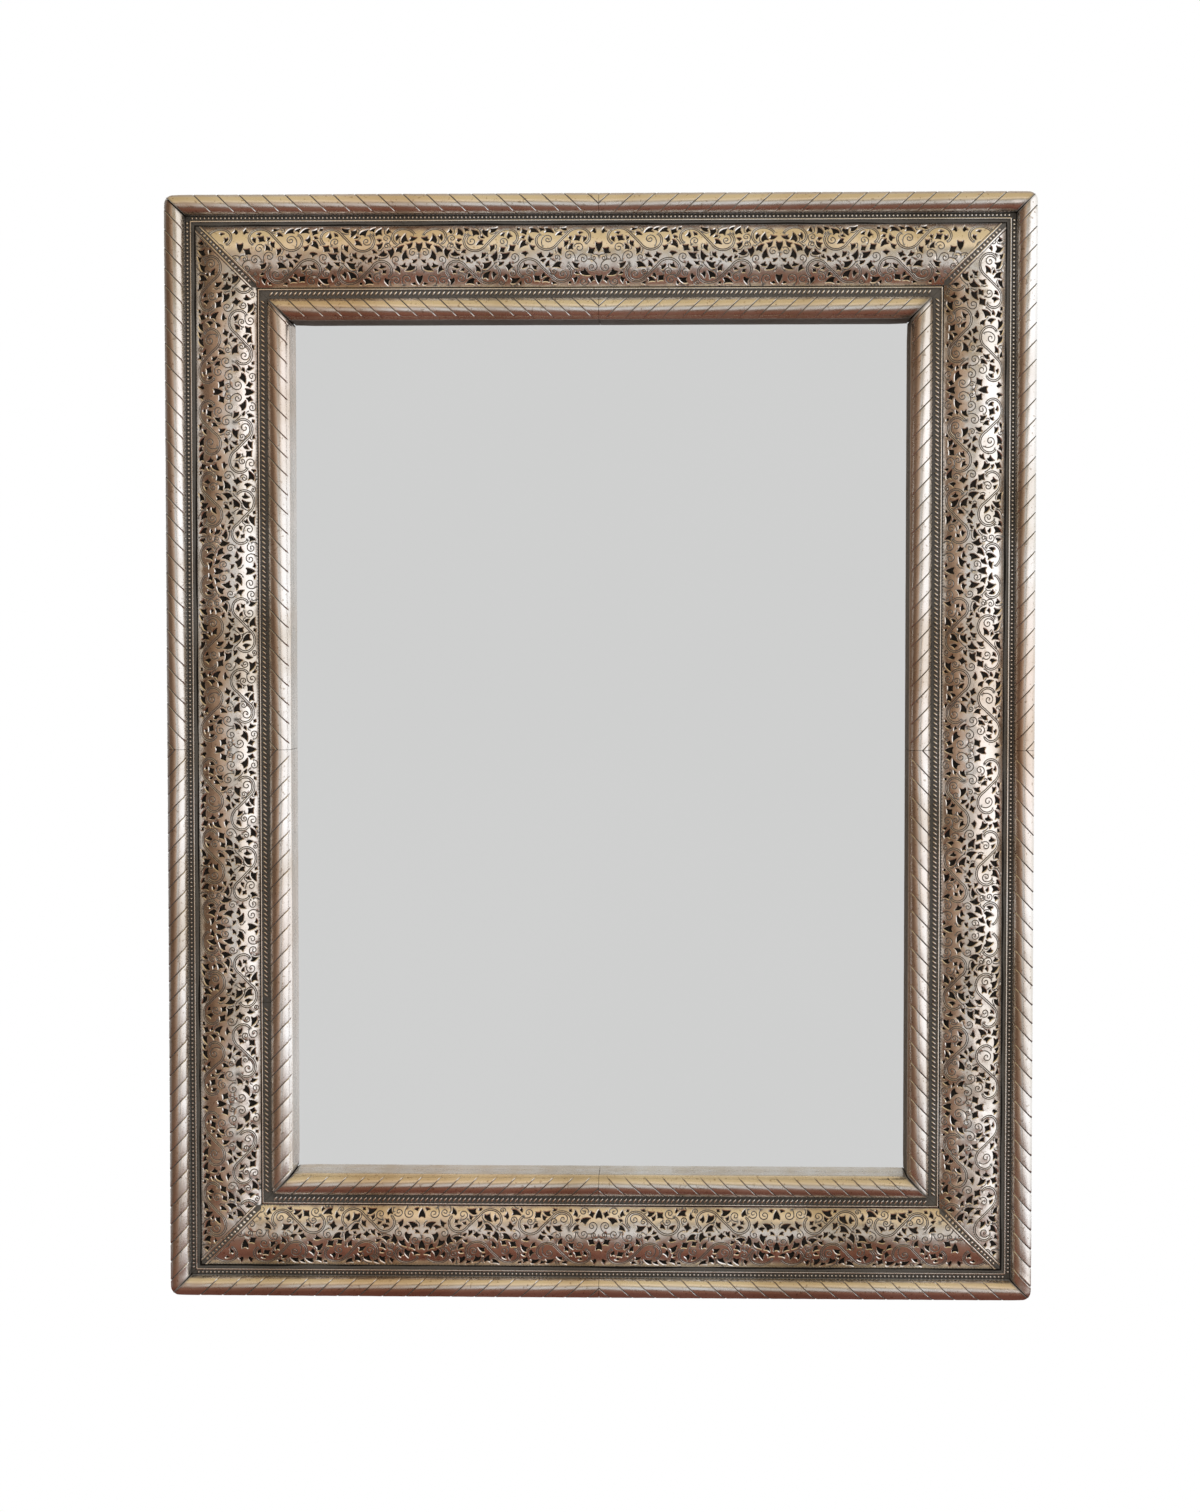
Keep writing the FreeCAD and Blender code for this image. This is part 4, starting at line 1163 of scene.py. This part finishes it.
def span(tree, source, low, high, start=0, finish=1):
    """A number taken from one span to another, and held at its ends."""
    ends = {"From Min": start, "From Max": finish, "To Min": low, "To Max": high}
    return add_node(tree, "ShaderNodeMapRange", {"Value": source, **ends}).outputs["Result"]


def higher(tree, first, second):
    return add_node(tree, "ShaderNodeMath", {0: first, 1: second}, operation="MAXIMUM").outputs[0]


def mix(tree, share, first, second, how="MIX"):
    """One colour laid over another, through the sockets that a mix node has for colours."""
    inputs = {0: share, 6: first, 7: second}
    return add_node(tree, "ShaderNodeMix", inputs, data_type="RGBA", blend_type=how).outputs[2]


def bumps(tree, height, strength, depth):
    inputs = {"Height": height, "Strength": strength, "Distance": depth}
    return add_node(tree, "ShaderNodeBump", inputs).outputs["Normal"]


WHITE = (1, 1, 1)
# The dark colour of patina in the metal's hollows, which also paints shade at the beads' feet and lips and
# along the frieze's edges
PATINA_AND_PAINTED_SHADE = (0.045, 0.036, 0.028, 1)
# Behind this level the rails are bare wood
WOOD_FRONT = -0.0046
# Clouds: how fine and how detailed each is
TARNISH = (16, 5)
BLUSH = (4.5, 2)
SPECKS = (420, 3)
SMEARS = (75, 4)
GRIT = (300, 3)
FIBRES = (60, 4)
# How deep the bumps of each material are
METAL_BUMPS = 0.0004
RAIL_BUMPS = 0.0005
PANEL_BUMPS = 0.0004
STEEL_BUMPS = 0.0002
RUBBER_BUMPS = 0.0003


def white_metal(tree, dull, plain, bright, polish, grit):
    """Antiqued white metal: tarnish, a faint blush, specks, dark patina in what is cut into it, and the
    painted shade and highlight that a mesh carries with its patina.
    """
    colour = ramp(tree, cloud(tree, *TARNISH), (0.34, dull), (0.5, plain), (0.64, bright))
    blush = ramp(tree, cloud(tree, *BLUSH), (0.50, WHITE), (0.68, (0.97, 0.89, 0.84)))
    specks = ramp(tree, cloud(tree, *SPECKS), (0.30, (0.66, 0.61, 0.56)), (0.38, WHITE))
    for over in (blush, specks):
        colour = mix(tree, 1, colour, over, "MULTIPLY")
    patina_and_painted_shade = add_node(tree, "ShaderNodeAttribute", {}, attribute_name="patina_and_painted_shade").outputs["Fac"]
    # Thick patina, and the painted shade that shares its channel, hides the metal: it is matt and has no
    # shine of its own
    matt = span(tree, patina_and_painted_shade, 0, 0.85, 0.3, 0.9)
    polished = span(tree, cloud(tree, *SMEARS), *polish, 0.3, 0.7)
    return {
        "Base Color": mix(tree, span(tree, patina_and_painted_shade, 0, 0.94, 0.05, 0.85), colour, PATINA_AND_PAINTED_SHADE),
        "Metallic": span(tree, patina_and_painted_shade, 1, 0, 0.35, 0.95),
        "Roughness": higher(tree, polished, matt),
        "Specular IOR Level": 0.15,
        "Normal": bumps(tree, cloud(tree, *GRIT), grit, METAL_BUMPS),
    }


def streaked(tree, scale, stretch, *colours):
    """Wood: streaks of three colours along its grain, with fine darker fibres over them."""
    streaks = ramp(tree, cloud(tree, scale, 6, stretch), *zip((0.36, 0.5, 0.62), colours))
    fibres = ramp(tree, cloud(tree, scale * 6, 4, stretch), (0.38, (0.60, 0.53, 0.46)), (0.54, WHITE))
    return mix(tree, 1, streaks, fibres, "MULTIPLY")


def rail_wood(tree, stretch):
    """Softwood with its grain along the rail, stained near black in front and bare at the back."""
    fibres = cloud(tree, *FIBRES, stretch)
    bare = streaked(tree, 13, stretch, (0.30, 0.18, 0.09), (0.47, 0.32, 0.18), (0.58, 0.42, 0.26))
    stain = ramp(tree, fibres, (0.3, (0.006, 0.005, 0.004)), (0.7, (0.020, 0.016, 0.013)))
    place = add_node(tree, "ShaderNodeSeparateXYZ", {"Vector": place_on_piece(tree)})
    back = span(tree, place.outputs["Y"], 0, 1, WOOD_FRONT, WOOD_FRONT + SHEET)
    return {
        "Base Color": mix(tree, back, stain, bare),
        "Roughness": 0.75,
        "Specular IOR Level": 0.12,
        "Normal": bumps(tree, fibres, 0.25, RAIL_BUMPS),
    }


def plywood(tree, stretch):
    colour = streaked(tree, 10, stretch, (0.38, 0.26, 0.15), (0.52, 0.38, 0.24), (0.62, 0.47, 0.31))
    fibres = bumps(tree, cloud(tree, *FIBRES, stretch), 0.3, PANEL_BUMPS)
    return {"Base Color": colour, "Roughness": 0.7, "Normal": fibres}


def zinc(tree):
    colour = ramp(tree, cloud(tree, 160, 4), (0.35, (0.42, 0.41, 0.37)), (0.65, (0.66, 0.64, 0.58)))
    rough = span(tree, cloud(tree, 220, 3), 0.28, 0.5, 0.3, 0.7)
    grit = bumps(tree, cloud(tree, 900, 2), 0.15, STEEL_BUMPS)
    return {"Base Color": colour, "Metallic": 1.0, "Roughness": rough, "Normal": grit}


def silvering(tree):
    """The mirror: a silvered plate with the faintest cloudiness."""
    colour = ramp(tree, cloud(tree, 3, 3), (0.3, (0.935, 0.94, 0.935)), (0.7, (0.95, 0.955, 0.95)))
    rough = span(tree, cloud(tree, 30, 4), 0.015, 0.03)
    return {"Base Color": colour, "Metallic": 1.0, "Roughness": rough}


def rubber(tree):
    colour = ramp(tree, cloud(tree, 300, 4), (0.3, (0.012, 0.012, 0.012)), (0.7, (0.03, 0.03, 0.03)))
    rough = span(tree, cloud(tree, 150, 3), 0.65, 0.85)
    grit = bumps(tree, cloud(tree, 800, 3), 0.3, RUBBER_BUMPS)
    return {"Base Color": colour, "Roughness": rough, "Normal": grit}


# White metals: the dull, plain and bright colours of each, its span of roughness and how gritty it is
METALS = {
    "frieze_metal": ((0.70, 0.63, 0.53), (0.94, 0.90, 0.84), (0.99, 0.97, 0.94), (0.22, 0.34), 0.14),
    "strip_metal": ((0.78, 0.71, 0.61), (0.94, 0.90, 0.83), (0.99, 0.97, 0.94), (0.18, 0.30), 0.10),
    "bead_metal": ((0.72, 0.66, 0.58), (0.85, 0.82, 0.78), (0.93, 0.92, 0.90), (0.22, 0.32), 0.05),
}
frieze_metal, strip_metal, bead_metal = [
    make_material(name, white_metal, *values) for name, values in METALS.items()]
across_wood = make_material("across_wood", rail_wood, (0.7, 9, 9))
upright_wood = make_material("upright_wood", rail_wood, (9, 9, 0.7))
zinc_steel = make_material("zinc_steel", zinc)

# The pieces
panels = {length: frieze_mesh(length) for length in (HALF_WIDTH, HALF_HEIGHT)}
draw = np.random.default_rng(SCORE_SEED)


def add_strip(node, side, place, relief, start=None, finish=None):
    points, faces, shades = strip_mesh(side, *place, relief, start, finish)
    add_piece(f"{node}_relief", node, on_side(side, points), faces, "border_strip", strip_metal, shades)


for side, (_, half_length, _, halves) in SIDES.items():
    points, faces, shades = panels[half_length]
    node = f"frieze_{side}"
    add_piece(f"{node}_sheet", node, on_side(side, points), faces, "pierced_sheet", frieze_metal, shades)
    beads = {
        f"outer_bead_{side}": (OUTER_LOW, OUTER_HIGH, (SKIRT_LEVEL, BED_LEVEL), OUTER_SCORE_PITCH[side]),
        f"inner_bead_{side}": (INNER_LOW, INNER_HIGH, (BED_LEVEL, LIP_LEVEL), INNER_SCORE_PITCH),
    }
    for half, word in zip((-1, 1), halves):
        for bead, section in beads.items():
            node = f"{bead}_{word}"
            points, faces, shades = bead_mesh(side, half, *section, draw)
            points, faces = thicken(round_corners(on_side(side, points)), faces, BEAD_SHEET)
            shades = np.tile(shades, 2)
            add_piece(f"{node}_sleeve", node, points, faces, "bead_sleeve", bead_metal, shades)
    add_strip(f"outer_strip_{side}", side, OUTER_STRIP, OUTER_RELIEF)
    if side != "left":
        add_strip(f"inner_strip_{side}", side, INNER_STRIP, INNER_RELIEF)
    points, faces = rail_mesh(side)
    node = RAIL_NODES[side]
    wood = across_wood if half_length == HALF_WIDTH else upright_wood
    add_piece(f"{node}_wood", node, round_corners(on_side(side, points)), faces, "wood", wood)

# The left inner strip is in two lengths that meet at a seam
lower_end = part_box("inner_strip_left_lower")[1].z
upper_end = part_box("inner_strip_left_upper")[0].z
for word, ends in (("lower", (None, lower_end)), ("upper", (upper_end, None))):
    add_strip(f"inner_strip_left_{word}", "left", INNER_STRIP, INNER_RELIEF, *ends)
for corner in CORNERS:
    points, faces, shades = mitre_mesh(corner)
    node = f"mitre_strip_{corner}"
    add_piece(f"{node}_relief", node, points, faces, "border_strip", strip_metal, shades)

low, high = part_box("hanger_screws")
places = [(x, z) for x in (low.x + SCREW_HEAD_RADIUS, high.x - SCREW_HEAD_RADIUS)
          for z in (low.z + SCREW_HEAD_RADIUS, high.z - SCREW_HEAD_RADIUS)]
heads = []
for (x, z), lean in zip(places, SCREW_LEANS):
    points, faces = screw_head(lean)
    heads.append((points + (x, high.y - SCREW_HEAD_HEIGHT, z), faces, np.zeros(len(points))))
add_piece("hanger_screw_heads", "hanger_screws", *join(*heads)[:2], "steel", zinc_steel)

low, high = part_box("wall_bumpers")
radius = (high.z - low.z) / 2
points, faces = lathe(BUMPER_SHARES, radius, high.y - low.y)
knobs = [(points + (x, low.y, low.z + radius), faces, np.zeros(len(points)))
         for x in (low.x + radius, high.x - radius)]
bumper_rubber = make_material("bumper_rubber", rubber)
add_piece("wall_bumper_knobs", "wall_bumpers", *join(*knobs)[:2], "bumper", bumper_rubber)

STEEL_NODES = ("panel_pins", "mitre_pins", "hanger_strap_left", "hanger_strap_right",
               "hanger_ring_left", "hanger_ring_right")
node_materials = {
    "mirror_glass": make_material("mirror_silver", silvering),
    "back_panel": make_material("panel_plywood", plywood, (9, 1, 0.5)),
    **dict.fromkeys(STEEL_NODES, zinc_steel),
}
for node, material in node_materials.items():
    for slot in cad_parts[node].material_slots:
        slot.material = material


# The stage: a pale round floor, glowing cards that only reflections show and that paint the reflections of
# a room, lamps and the world
FLOOR_DROP = 0.7
FLOOR_RADIUS = 1.55
FLOOR_SIDES = 96


def pale_paint(tree):
    tone = ramp(tree, cloud(tree, 2, 3), (0.3, (0.80, 0.80, 0.80)), (0.7, (0.83, 0.83, 0.83)))
    return {"Base Color": tone, "Roughness": 0.8, "Specular IOR Level": 0}


def glowing_paint(tree, glow):
    return {"Base Color": (0, 0, 0, 1), "Specular IOR Level": 0,
            "Emission Color": (*glow, 1), "Emission Strength": 1.0}


floor_level = -HALF_HEIGHT - FLOOR_DROP
angles = [step * 2 * math.pi / FLOOR_SIDES for step in range(FLOOR_SIDES)]
rim = [(FLOOR_RADIUS * math.cos(a), FLOOR_RADIUS * math.sin(a), floor_level) for a in angles]
new_object("floor", rim, [range(FLOOR_SIDES)], make_material("floor_paint", pale_paint))

# The room that the glowing cards paint into reflections: half its width, its ends, its top, its foot and
# its low cards' level
SIDE = 2.6
AHEAD = -4.5
BACK = 3.0
TOP = 2.2
FOOT = -1.35
BELOW = -1.05
# Edges of the cards ahead of the mirror, across and up
PALE_LEFT = -0.95
PALE_RIGHT = 0.65
DARK_RIGHT = 1.20
PALE_TOP = 0.92
# Where the cards to the left, over the mirror and below it start or change, from front to back
LEFT_NEAR = -2.3
OVER_NEAR = -2.2
BELOW_FIRST = -3.6
BELOW_NEAR = -1.7
BELOW_LAST = -0.6
BEHIND = 0.3
# Cards: two opposite corners along x, y and z, and the card's glow, which is painted reflection
CARDS = {
    "card_ahead": ((PALE_LEFT, AHEAD, FOOT), (PALE_RIGHT, AHEAD, PALE_TOP), (0.665, 0.665, 0.665)),
    "card_ahead_left": ((-SIDE, AHEAD, FOOT), (PALE_LEFT, AHEAD, TOP), (0.47, 0.33, 0.24)),
    "card_ahead_right": ((PALE_RIGHT, AHEAD, FOOT), (DARK_RIGHT, AHEAD, PALE_TOP), (0.30, 0.28, 0.26)),
    "card_ahead_far_right": ((DARK_RIGHT, AHEAD, FOOT), (SIDE, AHEAD, PALE_TOP), (1.15, 1.06, 1.01)),
    "card_ahead_over": ((PALE_LEFT, AHEAD, PALE_TOP), (SIDE, AHEAD, TOP), (0.34, 0.29, 0.21)),
    "card_left": ((-SIDE, AHEAD, FOOT), (-SIDE, LEFT_NEAR, TOP), (0.27, 0.17, 0.11)),
    "card_left_near": ((-SIDE, LEFT_NEAR, FOOT), (-SIDE, BEHIND, TOP), (0.14, 0.086, 0.056)),
    "card_left_back": ((-SIDE, BEHIND, FOOT), (-SIDE, BACK, TOP), (0.24, 0.22, 0.21)),
    "card_right": ((SIDE, AHEAD, FOOT), (SIDE, BEHIND, TOP), (1.20, 1.19, 1.21)),
    "card_over": ((-SIDE, AHEAD, TOP), (SIDE, OVER_NEAR, TOP), (0.82, 0.66, 0.45)),
    "card_over_near": ((-SIDE, OVER_NEAR, TOP), (SIDE, BEHIND, TOP), (0.63, 0.49, 0.28)),
    "card_over_back": ((-SIDE, BEHIND, TOP), (SIDE, BACK, TOP), (0.48, 0.41, 0.34)),
    "card_below": ((-SIDE, BELOW_FIRST, BELOW), (SIDE, BELOW_NEAR, BELOW), (0.17, 0.10, 0.075)),
    "card_below_near": ((-SIDE, BELOW_NEAR, BELOW), (SIDE, BELOW_LAST, BELOW), (0.20, 0.085, 0.055)),
    "card_underneath": ((-SIDE, BELOW_LAST, BELOW), (SIDE, BACK, BELOW), (0.14, 0.056, 0.040)),
}


def add_card(name, first, last, glow):
    """A flat glowing card between two corners that share one of their coordinates, seen only in
    reflections.
    """
    flat = next(axis for axis in range(3) if first[axis] == last[axis])
    a, b = [axis for axis in range(3) if axis != flat]
    corners = []
    for along, across in ((first, first), (last, first), (last, last), (first, last)):
        spot = list(first)
        spot[a], spot[b] = along[a], across[b]
        corners.append(tuple(spot))
    card = new_object(name, corners, [(0, 1, 2, 3)], make_material(f"{name}_paint", glowing_paint, glow))
    card.visible_camera = False
    card.visible_diffuse = False
    card.visible_transmission = False
    card.visible_shadow = False


for name, (first, last, glow) in CARDS.items():
    add_card(name, first, last, glow)

# Lamps that look at the mirror's middle: where each stands, its size across, its power and its colour
LAMPS = {
    "upper_right": ((1.7, -1.5, 1.1), 1.1, 26, (0.93, 0.97, 1.0)),
    "overhead": ((-0.1, -0.9, 2.2), 1.4, 22, (1.0, 0.95, 0.86)),
    "left": ((-2.0, -1.2, 0.2), 1.0, 9, (1.0, 0.86, 0.70)),
    "behind": ((0.6, 2.2, 1.4), 1.4, 22, (1.0, 1.0, 1.0)),
}
for name, (spot, across, power, colour) in LAMPS.items():
    lamp = bpy.data.lights.new(name, "AREA")
    lamp.size = across
    lamp.energy = power
    lamp.color = colour
    stand = bpy.data.objects.new(name, lamp)
    stand.location = spot
    stand.rotation_euler = (-Vector(spot)).to_track_quat("-Z", "Y").to_euler()
    stand.visible_glossy = False
    bpy.context.scene.collection.objects.link(stand)

WORLD_LEVEL = 0.55
world = bpy.data.worlds.new("surroundings")
world.use_nodes = True
tree = world.node_tree
shown = tree.nodes["Background"]
feed(tree, shown, {"Color": (*WHITE, 1), "Strength": 1})
soft = add_node(tree, "ShaderNodeBackground", {"Color": (*WHITE, 1), "Strength": WORLD_LEVEL})
rays = tree.nodes.new("ShaderNodeLightPath").outputs
seen = rays["Is Camera Ray"]
for kind in ("Is Glossy Ray", "Is Transmission Ray"):
    seen = higher(tree, seen, rays[kind])
choice = add_node(tree, "ShaderNodeMixShader", {0: seen, 1: soft.outputs[0], 2: shown.outputs[0]})
feed(tree, tree.nodes["World Output"], {"Surface": choice.outputs[0]})
bpy.context.scene.world = world

# The camera, at the photograph's viewing angle
CAMERA_SPOT = (0.0563, -2.0, 0.079)
CAMERA_YAW = -1.612
CAMERA_PITCH = -2.416
CAMERA_LENS = 65.9
view = bpy.data.cameras.new("view")
view.lens = CAMERA_LENS
camera = bpy.data.objects.new("view", view)
camera.location = CAMERA_SPOT
camera.rotation_euler = (math.radians(90 + CAMERA_PITCH), 0, math.radians(-CAMERA_YAW))
bpy.context.scene.collection.objects.link(camera)
bpy.context.scene.camera = camera
bpy.context.scene.view_settings.view_transform = "Standard"
